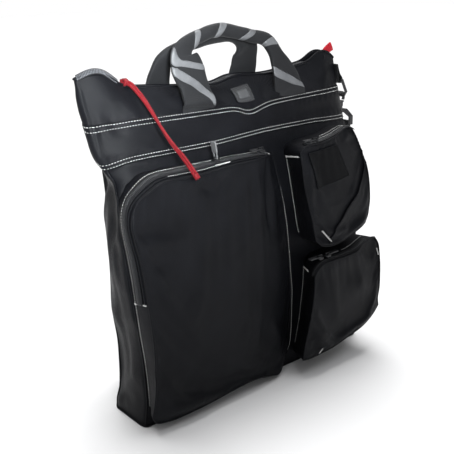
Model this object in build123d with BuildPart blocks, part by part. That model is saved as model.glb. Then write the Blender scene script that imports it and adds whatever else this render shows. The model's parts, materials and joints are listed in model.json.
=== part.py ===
from build123d import *
import os
from math import atan2, cos, sin, tan, radians, hypot

os.makedirs("parts", exist_ok=True)

# ---------------------------------------------------------------- dimensions
# A soft flight-crew tote. X to the bag's right, +Y to its back, +Z up.
# The origin is the centre of the flat base, on the surface it stands on.
base_half = 195.0        # half width at the floor
top_half = 209.0         # half width at the zip end
top_ref = 417.0          # height at which top_half is reached
cloth = 2.5              # padded shell: outer nylon, foam and lining together
base_t = 3.0             # base thickness
zip_z = 408.0            # top edge of the front and back

# section outline (y, z), from the floor to the zip
front_line = [(-34.5, 0.0), (-22.0, 327.0), (-10.0, 372.0), (26.0, 408.0)]
back_line = [(34.5, 0.0), (53.5, 327.0), (56.0, 372.0), (46.0, 408.0)]

tape_t = 1.0             # zip tape thickness
pocket_chain_w, pocket_chain_h = 4.5, 1.6
main_chain_w, main_chain_h = 6.0, 2.4
run = 0.35               # clearance under a slider

webbing = 50.0           # carrying handle webbing
webbing_t = 2.5
strap_w, strap_t = 38.0, 2.0
wire = 3.6               # ring stock

cord_d = 7.5             # two 4 mm strands side by side


def on_line(line, z):
    """y of a section line at height z."""
    for (y0, z0), (y1, z1) in zip(line, line[1:]):
        if z <= z1:
            return y0 + (y1 - y0) * (z - z0) / (z1 - z0)
    return line[-1][0]


beta = atan2(top_half - base_half, top_ref)
left_side = Plane(origin=(-base_half, 0, 0), x_dir=(0, -1, 0), z_dir=(-cos(beta), 0, -sin(beta)))
right_side = Plane(origin=(base_half, 0, 0), x_dir=(0, 1, 0), z_dir=(cos(beta), 0, -sin(beta)))

# the flat of the lower front, on which the pockets are sewn: (x, up the front, out from it)
alpha = atan2(front_line[1][0] - front_line[0][0], front_line[1][1])
up_front = (0, sin(alpha), cos(alpha))
out_front = (0, -cos(alpha), sin(alpha))
front_flat = Plane(origin=(0, front_line[0][0], 0), x_dir=(1, 0, 0), z_dir=out_front)


def on_front(x, s, h):
    return front_flat.from_local_coords((x, s, h))


def shelf(s, h=0.0):
    """A plane across the front at height s up it, facing up the front."""
    return Plane(origin=on_front(0, s, h), x_dir=(1, 0, 0), z_dir=up_front)


def save(bp, name):
    bp.part.label = name
    export_step(bp.part, f"parts/{name}.step")


# ---------------------------------------------------------------- shell panels
def sheet(points):
    """A panel with this (y, z) section, running from side gusset to side gusset."""
    with BuildPart() as panel:
        with BuildSketch(Plane.YZ):
            Polygon(*points, align=None)
        extrude(amount=220, both=True)
        split(bisect_by=left_side.offset(-cloth), keep=Keep.BOTTOM)
        split(bisect_by=right_side.offset(-cloth), keep=Keep.BOTTOM)
    return panel


def wall(line, z0, z1, inward):
    y0, y1 = on_line(line, z0), on_line(line, z1)
    return sheet([(y0, z0), (y1, z1), (y1 + inward, z1), (y0 + inward, z0)])


front_panel = wall(front_line, base_t, 327.0, cloth)
front_band = wall(front_line, 327.0, 372.0, cloth)
front_yoke = wall(front_line, 372.0, zip_z, cloth * 1.4)
back_panel = wall(back_line, base_t, 327.0, -cloth)
back_band = wall(back_line, 327.0, 372.0, -cloth)
back_yoke = wall(back_line, 372.0, zip_z, -cloth)

with BuildPart() as base_panel:
    with BuildSketch(Plane.XY):
        Rectangle(2 * base_half, 69.0)
    extrude(amount=base_t)
    fillet(base_panel.edges().filter_by(Axis.Z), radius=4)

side_outline = (
    [(on_line(front_line, base_t), base_t)] + front_line[1:]
    + [back_line[3], back_line[2], back_line[1], (on_line(back_line, base_t), base_t)]
)
with BuildPart() as left_gusset:
    with BuildSketch(left_side):
        Polygon(*[(-y, z / cos(beta)) for y, z in side_outline], align=None)
    extrude(amount=-cloth)

with BuildPart() as right_gusset:
    with BuildSketch(right_side):
        Polygon(*[(y, z / cos(beta)) for y, z in side_outline], align=None)
    extrude(amount=-cloth)

# inside: a stiff board on the floor, and a padded sheet that hangs near the back
with BuildPart() as base_stiffener:
    with BuildSketch(Plane.XY.offset(base_t)):
        Rectangle(2 * base_half - 20, 60.0)
    extrude(amount=2.0)
    fillet(base_stiffener.edges().filter_by(Axis.Z), radius=5)

with BuildPart() as padded_divider:
    with BuildSketch(Plane.XZ.offset(-25.0)):
        with Locations((0, 158.0)):
            RectangleRounded(360, 300, 18)
    extrude(amount=-3.0)

# ---------------------------------------------------------------- top closure
tape_half = 180.0
with BuildPart() as main_zip_tape:
    with BuildSketch(Plane.XY.offset(zip_z)):
        with Locations((0, 36.0)):
            Rectangle(2 * tape_half, 20.0)
    extrude(amount=tape_t)

with BuildPart() as main_zip_chain:
    with BuildSketch(Plane.XY.offset(zip_z + tape_t)):
        with Locations((0, 36.0)):
            Rectangle(2 * tape_half, main_chain_w)
    extrude(amount=main_chain_h)
    chamfer(main_zip_chain.edges().filter_by(Axis.X).group_by(Axis.Z)[-1], length=0.7)

with BuildPart() as zip_ear_left:
    with BuildSketch(Plane.XZ.offset(-28.0)):
        Polygon((-181, 408), (-206, 408), (-214, 423), (-192, 431), (-181, 425), align=None)
    extrude(amount=-17.0)
    fillet(zip_ear_left.edges().filter_by(Axis.Y).group_by(Axis.Z)[-1], radius=4)

with BuildPart() as zip_ear_right:
    with BuildSketch(Plane.XZ.offset(-28.0)):
        Polygon((181, 408), (206, 408), (211, 414), (203, 427), (187, 430), (181, 425), align=None)
    extrude(amount=-17.0)

with BuildPart() as zip_end_tab:
    with BuildSketch(Plane.XZ.offset(-33.5)):
        Polygon((191, 429.5), (201.5, 427.5), (207.5, 435), (202.5, 441), (195, 437.5), align=None)
    extrude(amount=-5.0)


# ---------------------------------------------------------------- zip sliders and pullers
# Local axes of a slider's plane: x along the zip, y across it, z away from it.
# The plane's origin is on top of the chain.
bar_h = 1.95 + 1.3       # height of a puller's bar over the chain, before scaling


def zip_slider(plane, k=1.0):
    with BuildPart() as slider:
        with BuildSketch(plane.offset(run)):
            RectangleRounded(10 * k, 7.2 * k, 1.6 * k)
        extrude(amount=1.6 * k)
        with BuildSketch(plane.offset(run)):
            with Locations((0, 3.1 * k), (0, -3.1 * k)):
                Rectangle(6.4 * k, 1.0 * k)
        extrude(amount=-1.4 * k)
        with BuildSketch(plane.offset(run + 1.6 * k)):
            with Locations((3.2 * k, 0), (-3.2 * k, 0)):
                Rectangle(1.0 * k, 2.2 * k)
        extrude(amount=2.6 * k)
        with BuildSketch(plane.offset(run + 4.2 * k)):
            Rectangle(7.4 * k, 2.2 * k)
        extrude(amount=0.9 * k)
    return slider


def bar_plane(plane, angle, k=1.0):
    """Plane through a puller's bar, its x axis turned up by this angle from the zip."""
    turned = plane.rotated((0, -angle, 0))
    return Plane(origin=plane.from_local_coords((0, 0, run + (bar_h - run) * k)),
                 x_dir=turned.x_dir, z_dir=turned.z_dir)


def zip_puller(plane, angle, tab_len, tab_w=6.0, k=1.0, link=8.6):
    bar = bar_plane(plane, angle, k)
    with BuildPart() as puller:
        with BuildSketch(bar.offset(-0.6 * k)):
            with Locations(((link * k - 0.6 * k) / 2, 0)):
                RectangleRounded(link * k + 0.6 * k, 7.0 * k, 1.2 * k)
                Rectangle(link * k - 1.8 * k, 4.6 * k, mode=Mode.SUBTRACT)
        extrude(amount=1.2 * k)
        if tab_len > 0:
            with BuildSketch(bar.offset(-0.9 * k)):
                with Locations((link * k - 1.0 * k + tab_len / 2, 0)):
                    RectangleRounded(tab_len, tab_w, 1.4)
            extrude(amount=1.8 * k)
    return puller


def at_x(plane, x):
    return Plane(origin=plane.from_local_coords((x, 0, 0)), x_dir=plane.x_dir, z_dir=plane.z_dir)


main_top = Plane(origin=(0, 36.0, zip_z + tape_t + main_chain_h), x_dir=(1, 0, 0), z_dir=(0, 0, 1))
main_k = 1.35
main_slider_x = -172.0
main_slider = zip_slider(at_x(main_top, main_slider_x), main_k)
main_pull_ring = zip_puller(at_x(main_top, main_slider_x), 0, 0, k=main_k, link=9.2)

# ---------------------------------------------------------------- big bellows pocket
big_s0, big_s1, big_x0 = 20.0, 316.0, -199.0
big_h = 26.0             # stands out this far at the left, sewn flat at the right
big_r = 38.0             # rounded top left corner
big_end, big_bend = 52.0, 14.0


def top_left(bp, r):
    edge = bp.edges().filter_by(Axis(on_front(0, 0, 0), out_front)).group_by(Axis.X)[0].sort_by(Axis.Z)[-1]
    fillet(edge, radius=r)


with BuildPart() as big_pocket_face:
    with BuildSketch(shelf(big_s0)):
        Polygon((big_x0, -big_h), (big_bend, -big_h), (big_end, -2.5), (big_end, -0.1), (big_end - 4.2, -0.1),
                (big_bend - 0.7, -big_h + cloth), (big_x0, -big_h + cloth), align=None)
    extrude(amount=big_s1 - big_s0)
    top_left(big_pocket_face, big_r)

with BuildPart() as big_pocket_hollow:
    with BuildSketch(shelf(big_s0 + cloth)):
        Polygon((big_x0 + cloth, 5), (big_x0 + cloth, -40), (80, -40), (80, 5), align=None)
    extrude(amount=big_s1 - big_s0 - 2 * cloth)
    top_left(big_pocket_hollow, big_r - cloth)

with BuildPart() as big_pocket_gusset:
    with BuildSketch(shelf(big_s0)):
        Polygon((big_x0, -0.1), (big_x0, -big_h + cloth), (big_bend - 0.7, -big_h + cloth), (big_end - 4.2, -0.1), align=None)
    extrude(amount=big_s1 - big_s0)
    top_left(big_pocket_gusset, big_r)
    add(big_pocket_hollow.part, mode=Mode.SUBTRACT)


def rounded_block(grow, low_s, h0, h1):
    """The big pocket's outline, grown outwards, as a block from h0 to h1 off the front."""
    with BuildPart() as block:
        with BuildSketch(front_flat.offset(h0)):
            Polygon((big_bend - 4, 200), (big_bend - 4, big_s1 + grow), (big_x0 - grow, big_s1 + grow),
                    (big_x0 - grow, low_s), (big_x0 + 60, low_s), (big_x0 + 60, 200), align=None)
        extrude(amount=h1 - h0)
        top_left(block, big_r + grow)
    return block


def zip_round(inner, outer, h0, h1):
    """A strip that follows the top and left of the big pocket."""
    inside = rounded_block(inner, 100, h0 - 1, h1 + 1)
    with BuildPart() as strip:
        add(rounded_block(outer, 172, h0, h1).part)
        add(inside.part, mode=Mode.SUBTRACT)
    return strip


big_zip_h = 12.0
big_tape = zip_round(0.0, tape_t, big_zip_h - 7, big_zip_h + 7)
big_chain = zip_round(tape_t, tape_t + pocket_chain_h, big_zip_h - pocket_chain_w / 2, big_zip_h + pocket_chain_w / 2)
with BuildPart() as big_pocket_zip:
    add(big_tape.part)
    add(big_chain.part)

big_top = shelf(big_s1 + tape_t + pocket_chain_h, big_zip_h)
big_slider_left_x, big_slider_right_x = -71.0, 2.0
big_slider_left = zip_slider(at_x(big_top, big_slider_left_x))
big_puller_left = zip_puller(at_x(big_top, big_slider_left_x), 100, 14, 9)
big_slider_right = zip_slider(at_x(big_top, big_slider_right_x))
big_puller_right = zip_puller(at_x(big_top, big_slider_right_x), 180, 10)


# ---------------------------------------------------------------- box pockets on the right
# Each is wider at its face than where it is sewn on: base and face are (x0, x1).
def pocket_block(base, face, s0, s1, depth, r, shrink=0.0):
    with BuildPart() as block:
        for (x0, x1), h in ((base, 0.1), (face, depth)):
            with BuildSketch(front_flat.offset(h)):
                with Locations(((x0 + x1) / 2, (s0 + s1) / 2)):
                    RectangleRounded(x1 - x0 - 2 * shrink, s1 - s0 - 2 * shrink, r - shrink)
        loft()
    return block


def pocket_gusset(base, face, s0, s1, depth, r):
    hollow = pocket_block(base, face, s0, s1, depth, r, cloth)
    with BuildPart() as ring:
        add(pocket_block(base, face, s0, s1, depth - cloth, r).part)
        add(hollow.part, mode=Mode.SUBTRACT)
    return ring


def pocket_face(x0, x1, s0, s1, depth, r):
    with BuildPart() as panel:
        with BuildSketch(front_flat.offset(depth - cloth)):
            with Locations(((x0 + x1) / 2, (s0 + s1) / 2)):
                RectangleRounded(x1 - x0, s1 - s0, r)
        extrude(amount=cloth)
    return panel


def pocket_zip(x0, x1, s1, h):
    with BuildPart() as strip:
        with BuildSketch(shelf(s1, h)):
            with Locations(((x0 + x1) / 2, 0)):
                Rectangle(x1 - x0, 14.0)
        extrude(amount=tape_t)
        with BuildSketch(shelf(s1 + tape_t, h)):
            with Locations(((x0 + x1) / 2, 0)):
                Rectangle(x1 - x0, pocket_chain_w)
        extrude(amount=pocket_chain_h)
    return strip


up_base, up_x0, up_x1, up_s0, up_s1, up_h, up_r = (62.0, 163.0), 49.0, 168.0, 192.0, 320.0, 48.0, 12.0
upper_pocket_gusset = pocket_gusset(up_base, (up_x0, up_x1), up_s0, up_s1, up_h, up_r)
upper_pocket_face = pocket_face(up_x0, up_x1, up_s0, up_s1, up_h, up_r)
up_zip_h = up_h - 12
upper_pocket_zip = pocket_zip(65.0, 153.0, up_s1, up_zip_h)

with BuildPart() as slant_pocket_panel:
    with BuildSketch(front_flat.offset(up_h)):
        Polygon((up_x0 + 38, up_s0 + 3), (up_x1 - 3, up_s0 + 80), (up_x1 - 3, up_s0 + 12), (up_x1 - 12, up_s0 + 3),
                align=None)
    extrude(amount=1.2)

with BuildPart() as hook_loop_patch:
    with BuildSketch(front_flat.offset(up_h)):
        with Locations((88, 290)):
            RectangleRounded(56, 48, 2)
    extrude(amount=1.2)

upper_top = shelf(up_s1 + tape_t + pocket_chain_h, up_zip_h)
upper_slider_x = 74.0
upper_slider = zip_slider(at_x(upper_top, upper_slider_x))
upper_puller = zip_puller(at_x(upper_top, upper_slider_x), 180, 12)

lo_base, lo_x0, lo_x1, lo_s0, lo_s1, lo_h, lo_r = (72.0, 177.0), 45.0, 187.0, 32.0, 160.0, 52.0, 14.0
lower_pocket_gusset = pocket_gusset(lo_base, (lo_x0, lo_x1), lo_s0, lo_s1, lo_h, lo_r)
lower_pocket_face = pocket_face(lo_x0, lo_x1, lo_s0, lo_s1, lo_h, lo_r)
lo_zip_h = lo_h - 12
lower_pocket_zip = pocket_zip(67.0, 165.0, lo_s1, lo_zip_h)
lower_top = shelf(lo_s1 + tape_t + pocket_chain_h, lo_zip_h)
lower_slider_left_x, lower_slider_right_x = 77.0, 92.0
lower_slider_left = zip_slider(at_x(lower_top, lower_slider_left_x))
lower_puller_left = zip_puller(at_x(lower_top, lower_slider_left_x), 180, 12)
lower_slider_right = zip_slider(at_x(lower_top, lower_slider_right_x))
lower_puller_right = zip_puller(at_x(lower_top, lower_slider_right_x), 0, 12)

# ---------------------------------------------------------------- label patch, plain
yoke_dir = (0, 1 / 2 ** 0.5, 1 / 2 ** 0.5)
yoke_out = (0, -1 / 2 ** 0.5, 1 / 2 ** 0.5)
front_yoke_face = Plane(origin=(0, -10, 372), x_dir=(1, 0, 0), z_dir=yoke_out)
with BuildPart() as label_patch:
    with BuildSketch(front_yoke_face):
        with Locations((3, 20)):
            RectangleRounded(27, 21, 2)
    extrude(amount=1.4)
    fillet(label_patch.faces().sort_by(Axis(front_yoke_face.origin, yoke_out))[-1].edges(), radius=0.4)

# ---------------------------------------------------------------- carrying handles
grip_z = 446.0


def handle(profile, feet):
    """Two webbing legs: a (y, z) strip, and for each leg its foot x and its top x."""
    with BuildPart() as legs:
        with BuildSketch(Plane.YZ):
            Polygon(*profile, align=None)
        extrude(amount=200, both=True)
        with BuildSketch(Plane.XZ.offset(200)):
            for foot, top in feet:
                Polygon((foot - webbing / 2, 370), (foot + webbing / 2, 370), (foot + webbing / 2, 405),
                        (top + webbing / 2 - 3, 428), (top + 11, grip_z), (top - 11, grip_z),
                        (top - webbing / 2 + 3, 428), (foot - webbing / 2, 405), align=None)
        extrude(amount=-400, mode=Mode.INTERSECT)
    return legs


def grip(left, right, top, y0, y1, thick):
    """The rolled grip: an arch from leg to leg."""
    mid = ((left + right) / 2, top - thick / 2)
    foot = grip_z + 0.1
    with BuildPart() as arch:
        with BuildSketch(Plane.XZ.offset(-y0)):
            with BuildLine():
                outer = ThreePointArc((left - thick / 2 - 2, foot), (mid[0], top), (right + thick / 2 + 2, foot))
                Line(outer @ 1, (right - thick / 2 - 2, foot))
                ThreePointArc((right - thick / 2 - 2, foot), (mid[0], top - thick), (left + thick / 2 + 2, foot))
                Line((left + thick / 2 + 2, foot), outer @ 0)
            make_face()
        extrude(amount=-(y1 - y0))
        chamfer(arch.edges().group_by(Axis.Z)[-1], length=3)
    return arch


front_feet = [(-76.0, -88.0), (84.0, 64.0)]
back_feet = [(-90.0, -86.0), (52.0, 58.0)]
front_handle = handle([(-7.9, 376.6), (23.7, 408.2), (22.4, grip_z), (19.9, grip_z), (21.1, 409.4), (-9.7, 378.4)],
                      front_feet)
back_handle = handle([(57.0, 377.0), (48.2, 408.5), (37.0, grip_z), (39.6, grip_z), (50.8, 408.9), (59.5, 377.7)],
                     back_feet)
front_grip = grip(front_feet[0][1], front_feet[1][1], 474.0, 13.0, 27.0, 17.0)
back_grip = grip(back_feet[0][1], back_feet[1][1], 470.0, 30.0, 42.0, 15.0)

# ---------------------------------------------------------------- side rings, hooks, strap
ring_z = 381.0
ring_gap = 25.0          # inside width of a ring
bar_r = 2.95             # inside of the tab's loop


def side_ring(plane):
    with BuildPart() as ring:
        with BuildSketch(plane.offset(-wire / 2)):
            with BuildLine():
                Polyline((-12.5 - wire, 1.8), (12.5 + wire, 1.8), (12.5 + wire, -20.0), (8.0, -28.8), (-8.0, -28.8),
                         (-12.5 - wire, -20.0), (-12.5 - wire, 1.8))
            make_face()
            with BuildLine():
                Polyline((-12.5, -1.8), (12.5, -1.8), (12.5, -18.8), (6.2, -25.2), (-6.2, -25.2),
                         (-12.5, -18.8), (-12.5, -1.8))
            make_face(mode=Mode.SUBTRACT)
        extrude(amount=wire)
        chamfer(ring.faces().sort_by(Axis(plane.origin, plane.z_dir))[-1].edges(), length=0.6)
        chamfer(ring.faces().sort_by(Axis(plane.origin, plane.z_dir))[0].edges(), length=0.6)
    return ring


# right ring: its bar runs front to back, its loop hangs down and away from the bag
right_bar = (213.0, 36.0, ring_z)
right_tilt = radians(27.0)
right_ring_plane = Plane(origin=right_bar, x_dir=(0, 1, 0), z_dir=(cos(right_tilt), 0, sin(right_tilt)))
d_ring_right = side_ring(right_ring_plane)
right_wire = right_ring_plane.from_local_coords((0, -27.0, 0))

# left ring: its bar runs along the back, its loop hangs down and backwards
left_bar = (-150.0, 59.0, ring_z)
left_tilt = radians(15.0)
left_ring_plane = Plane(origin=left_bar, x_dir=(-1, 0, 0), z_dir=(0, cos(left_tilt), sin(left_tilt)))
d_ring_left = side_ring(left_ring_plane)
left_wire = left_ring_plane.from_local_coords((0, -27.0, 0))


def ring_tab(axis_plane, width, flat_plane, flat_s0, flat_len, flat_x):
    """A loop of webbing round the bar, with its tail sewn to the bag."""
    with BuildPart() as tab:
        with BuildSketch(axis_plane.offset(-width / 2)):
            Circle(bar_r + 1.7)
        extrude(amount=width)
        with BuildSketch(flat_plane):
            with Locations((flat_x, flat_s0 + flat_len / 2)):
                Rectangle(width, flat_len)
        extrude(amount=2.0)
        with BuildSketch(axis_plane.offset(-width / 2 - 1)):
            Circle(bar_r)
        extrude(amount=width + 2, mode=Mode.SUBTRACT)
    return tab


ring_tab_right = ring_tab(Plane(origin=right_bar, x_dir=(1, 0, 0), z_dir=(0, 1, 0)), 22.0,
                          right_side, (ring_z - 1.0) / cos(beta), 24.0, right_bar[1])
back_slope = atan2(back_line[3][0] - back_line[2][0], back_line[3][1] - back_line[2][1])
back_yoke_face = Plane(origin=(0, back_line[2][0], back_line[2][1]), x_dir=(-1, 0, 0),
                       z_dir=(0, cos(back_slope), -sin(back_slope)))
ring_tab_left = ring_tab(Plane(origin=left_bar, x_dir=(0, 1, 0), z_dir=(1, 0, 0)), 22.0,
                         back_yoke_face, 9.0, 24.0, 150.0)

claw_in, claw_out = 5.6, 9.2


def hook_frame(wire_at, across):
    """Plane of a hook: x sideways in the claw's plane, y up; centre of the claw."""
    c = (wire_at.X, wire_at.Y, wire_at.Z - claw_in + wire / 2 + 0.75)
    return Plane(origin=c, x_dir=across, z_dir=Vector(*across).cross(Vector(0, 0, 1)))


def snap_hook(plane):
    with BuildPart() as hook:
        with BuildSketch(plane.offset(-2.5)):
            Circle(claw_out)
            with Locations((0, -claw_out - 1.5)):
                Rectangle(8.0, 5.0)
            Circle(claw_in, mode=Mode.SUBTRACT)
            # the mouth, closed by the gate
            Polygon((2.0, -4.4), (14, -8.0), (14, 8.6), (1.5, 5.0), (4.0, 0), align=None, mode=Mode.SUBTRACT)
        extrude(amount=5.0)
        down = Plane(origin=plane.from_local_coords((0, -claw_out - 4.0, 0)), x_dir=plane.x_dir, z_dir=(0, 0, -1))
        with BuildSketch(down):
            Circle(4.0)
        extrude(amount=2.6)
        with BuildSketch(down.offset(2.6)):
            Circle(2.4)
        extrude(amount=6.0)
        with BuildSketch(down.offset(8.6)):
            Circle(4.2)
        extrude(amount=2.6)
    return hook


def snap_gate(plane):
    with BuildPart() as gate:
        with BuildSketch(plane.offset(-1.8)):
            Circle(claw_out - 0.6)
            Circle(claw_in + 0.5, mode=Mode.SUBTRACT)
            with BuildLine():
                Polyline((4.3, -3.9), (14, -7.0), (14, 7.4), (4.3, 4.9), (4.3, -3.9))
            make_face(mode=Mode.INTERSECT)
        extrude(amount=3.6)
    return gate


def swivel(plane, eye_dir, half):
    """The eye that holds the strap and turns on the hook's stem."""
    top = plane.from_local_coords((0, -claw_out - 4.0 - 2.6 - 0.5, 0))
    face = Plane(origin=top, x_dir=eye_dir, z_dir=Vector(*eye_dir).cross(Vector(0, 0, 1)))
    with BuildPart() as eye:
        with BuildSketch(face.offset(-3.0)):
            with BuildLine():
                Polyline((-12, 0), (12, 0), (half + 3.5, -9), (half + 3.5, -22.0), (-half - 3.5, -22.0),
                         (-half - 3.5, -9), (-12, 0))
            make_face()
            with BuildLine():
                Polyline((-10, -5.0), (10, -5.0), (half, -10.5), (half, -18.5), (-half, -18.5), (-half, -10.5),
                         (-10, -5.0))
            make_face(mode=Mode.SUBTRACT)
        extrude(amount=6.0)
        # the bar that the strap goes round is thinner than the rest
        with BuildSketch(face.offset(-4.0)):
            with Locations((0, -20.25)):
                Rectangle(2 * half, 3.6)
        extrude(amount=2.2, mode=Mode.SUBTRACT)
        with BuildSketch(face.offset(1.8)):
            with Locations((0, -20.25)):
                Rectangle(2 * half, 3.6)
        extrude(amount=2.2, mode=Mode.SUBTRACT)
        with BuildSketch(Plane(origin=top, x_dir=eye_dir, z_dir=(0, 0, 1)).offset(-6)):
            Circle(2.75)
        extrude(amount=7.0, mode=Mode.SUBTRACT)
    return eye, top


right_frame = hook_frame(right_wire, (1, 0, 0))
hook_right = snap_hook(right_frame)
hook_gate_right = snap_gate(right_frame)
eye_half = strap_w / 2 + 1.0
swivel_right, right_eye_top = swivel(right_frame, (0, 1, 0), eye_half)

left_frame = hook_frame(left_wire, (0, 1, 0))
hook_left = snap_hook(left_frame)
hook_gate_left = snap_gate(left_frame)
swivel_left, left_eye_top = swivel(left_frame, (1, 0, 0), eye_half)

# The strap hangs as a U behind the bag: down the right side, along the floor, up behind the left.
strap_x = right_eye_top.X
strap_y0 = right_eye_top.Y
strap_y1 = 72.0          # behind the back panel
strap_low = 1.8
bend_r = 30.0
left_x = left_eye_top.X + 8.0
eye_bar_z = right_eye_top.Z - 20.25
left_bar_z = left_eye_top.Z - 20.25


def strap_loop(top_point, eye_dir):
    """The sewn loop round the eye's bar."""
    face = Plane(origin=(top_point.X, top_point.Y, top_point.Z - 20.25), x_dir=eye_dir,
                 z_dir=Vector(*eye_dir).cross(Vector(0, 0, 1)))
    with BuildPart() as loop:
        with BuildSketch(face.offset(-4.4)):
            with Locations((0, -1.6)):
                Rectangle(strap_w, 10.4)
        extrude(amount=8.8)
        with BuildSketch(face.offset(-2.4)):
            Rectangle(strap_w + 2, 4.9)
        extrude(amount=4.8, mode=Mode.SUBTRACT)
    return loop


right_loop = strap_loop(right_eye_top, (0, 1, 0))
left_loop = strap_loop(left_eye_top, (1, 0, 0))

with BuildPart() as strap_right:
    add(right_loop.part)
    with BuildSketch(Plane.YZ.offset(strap_x - strap_t / 2)):
        Polygon((strap_y0 - strap_w / 2, eye_bar_z - 6.8), (strap_y0 + strap_w / 2, eye_bar_z - 6.8),
                (strap_y1 + strap_w / 2, strap_low + bend_r), (strap_y1 - strap_w / 2, strap_low + bend_r),
                align=None)
    extrude(amount=strap_t)
    with BuildSketch(Plane.XZ.offset(-(strap_y1 - strap_w / 2))):
        with BuildLine():
            right_arc = CenterArc((strap_x + strap_t / 2 - bend_r, strap_low + bend_r), bend_r, -90, 90)
            Line(right_arc @ 1, right_arc @ 1 + Vector(-strap_t, 0))
            in_arc = CenterArc((strap_x + strap_t / 2 - bend_r, strap_low + bend_r), bend_r - strap_t, -90, 90)
            Line(in_arc @ 0, (20, strap_low + strap_t))
            Line((20, strap_low + strap_t), (20, strap_low))
            Line((20, strap_low), right_arc @ 0)
        make_face()
    extrude(amount=-strap_w)

with BuildPart() as strap_left:
    add(left_loop.part)
    with BuildSketch(Plane.XZ.offset(-left_eye_top.Y + strap_t / 2)):
        Polygon((left_eye_top.X - strap_w / 2, left_bar_z - 6.8), (left_eye_top.X + strap_w / 2, left_bar_z - 6.8),
                (left_x + strap_w / 2, 170), (left_x - strap_w / 2, 170), align=None)
    extrude(amount=-strap_t)
    with BuildSketch(Plane.YZ.offset(left_x - strap_t / 2)):
        Polygon((left_eye_top.Y - 12, 205), (left_eye_top.Y + 14, 205), (strap_y1 + strap_w / 2, 165),
                (strap_y1 + strap_w / 2, strap_low + bend_r), (strap_y1 - strap_w / 2, strap_low + bend_r),
                (strap_y1 - strap_w / 2, 165), align=None)
    extrude(amount=strap_t)
    with BuildSketch(Plane.XZ.offset(-(strap_y1 - strap_w / 2))):
        with BuildLine():
            out_arc = CenterArc((left_x - strap_t / 2 + bend_r, strap_low + bend_r), bend_r, 180, 90)
            Line(out_arc @ 1, (-20, strap_low))
            Line((-20, strap_low), (-20, strap_low + strap_t))
            inn = CenterArc((left_x - strap_t / 2 + bend_r, strap_low + bend_r), bend_r - strap_t, 180, 90)
            Line((-20, strap_low + strap_t), inn @ 1)
            Line(inn @ 0, out_arc @ 0)
        make_face()
    extrude(amount=-strap_w)

with BuildPart() as strap_adjuster:
    with BuildSketch(Plane.XY.offset(strap_low - 1.5)):
        with Locations((0, strap_y1)):
            RectangleRounded(40 - 0.2, strap_w + 9, 4)
    extrude(amount=5.0)

# ---------------------------------------------------------------- red pull cord
cord_pts = [
    (-156.0, 34.5, 416.3), (-149.5, 26.5, 416.0), (-147.0, 15.0, 407.6), (-143.0, 3.5, 396.0),
    (-141.5, -11.0, 381.5), (-138.5, -24.0, 365.5), (-130.5, -30.0, 349.5), (-122.5, -40.0, 338.0),
    (-120.5, -54.5, 328.0), (-123.0, -65.5, 313.5),
]


def route_radii(points):
    vs = [Vector(*p) for p in points]
    out = []
    for a, b, c in zip(vs, vs[1:], vs[2:]):
        turn = radians((b - a).get_angle(c - b))
        shorter = min((b - a).length, (c - b).length)
        out.append(0.45 * shorter / tan(turn / 2))
    return out


cord_radii = route_radii(cord_pts)
with BuildPart() as pull_cord:
    with BuildLine() as cord_route:
        FilletPolyline(*cord_pts, radius=cord_radii)
    cord_wire = cord_route.wires()[0]
    with BuildSketch(Plane(origin=cord_wire @ 0, z_dir=cord_wire % 0)):
        Circle(cord_d / 2)
    sweep(path=cord_wire)
print("pull cord radii:", [round(r, 1) for r in cord_radii])
print("pull cord length:", round(cord_wire.length, 1), "volume ratio:",
      round(pull_cord.part.volume / (cord_wire.length * 3.14159265 * cord_d ** 2 / 4), 4))

# ---------------------------------------------------------------- write every piece
for piece, name in [
    (front_panel, "front_panel"), (front_band, "front_band"), (front_yoke, "front_yoke"),
    (back_panel, "back_panel"), (back_band, "back_band"), (back_yoke, "back_yoke"),
    (base_panel, "base_panel"), (left_gusset, "left_gusset"), (right_gusset, "right_gusset"),
    (base_stiffener, "base_stiffener"), (padded_divider, "padded_divider"),
    (main_zip_tape, "main_zip_tape"), (main_zip_chain, "main_zip_chain"),
    (zip_ear_left, "zip_ear_left"), (zip_ear_right, "zip_ear_right"), (zip_end_tab, "zip_end_tab"),
    (main_slider, "main_slider"), (main_pull_ring, "main_pull_ring"), (pull_cord, "pull_cord"),
    (big_pocket_face, "big_pocket_face"), (big_pocket_gusset, "big_pocket_gusset"),
    (big_pocket_zip, "big_pocket_zip"), (big_slider_left, "big_slider_left"),
    (big_puller_left, "big_puller_left"), (big_slider_right, "big_slider_right"),
    (big_puller_right, "big_puller_right"),
    (upper_pocket_gusset, "upper_pocket_gusset"), (upper_pocket_face, "upper_pocket_face"),
    (upper_pocket_zip, "upper_pocket_zip"), (slant_pocket_panel, "slant_pocket_panel"),
    (hook_loop_patch, "hook_loop_patch"), (upper_slider, "upper_slider"), (upper_puller, "upper_puller"),
    (lower_pocket_gusset, "lower_pocket_gusset"), (lower_pocket_face, "lower_pocket_face"),
    (lower_pocket_zip, "lower_pocket_zip"), (lower_slider_left, "lower_slider_left"),
    (lower_puller_left, "lower_puller_left"), (lower_slider_right, "lower_slider_right"),
    (lower_puller_right, "lower_puller_right"), (label_patch, "label_patch"),
    (front_handle, "front_handle"), (front_grip, "front_grip"), (back_handle, "back_handle"),
    (back_grip, "back_grip"), (ring_tab_right, "ring_tab_right"), (ring_tab_left, "ring_tab_left"),
    (d_ring_right, "d_ring_right"), (d_ring_left, "d_ring_left"),
    (hook_right, "hook_right"), (hook_gate_right, "hook_gate_right"), (swivel_right, "swivel_right"),
    (hook_left, "hook_left"), (hook_gate_left, "hook_gate_left"), (swivel_left, "swivel_left"),
    (strap_right, "strap_right"), (strap_left, "strap_left"), (strap_adjuster, "strap_adjuster"),
]:
    save(piece, name)
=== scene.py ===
import json
import math

import bpy
import numpy as np
from mathutils import Matrix, Vector, noise

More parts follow.
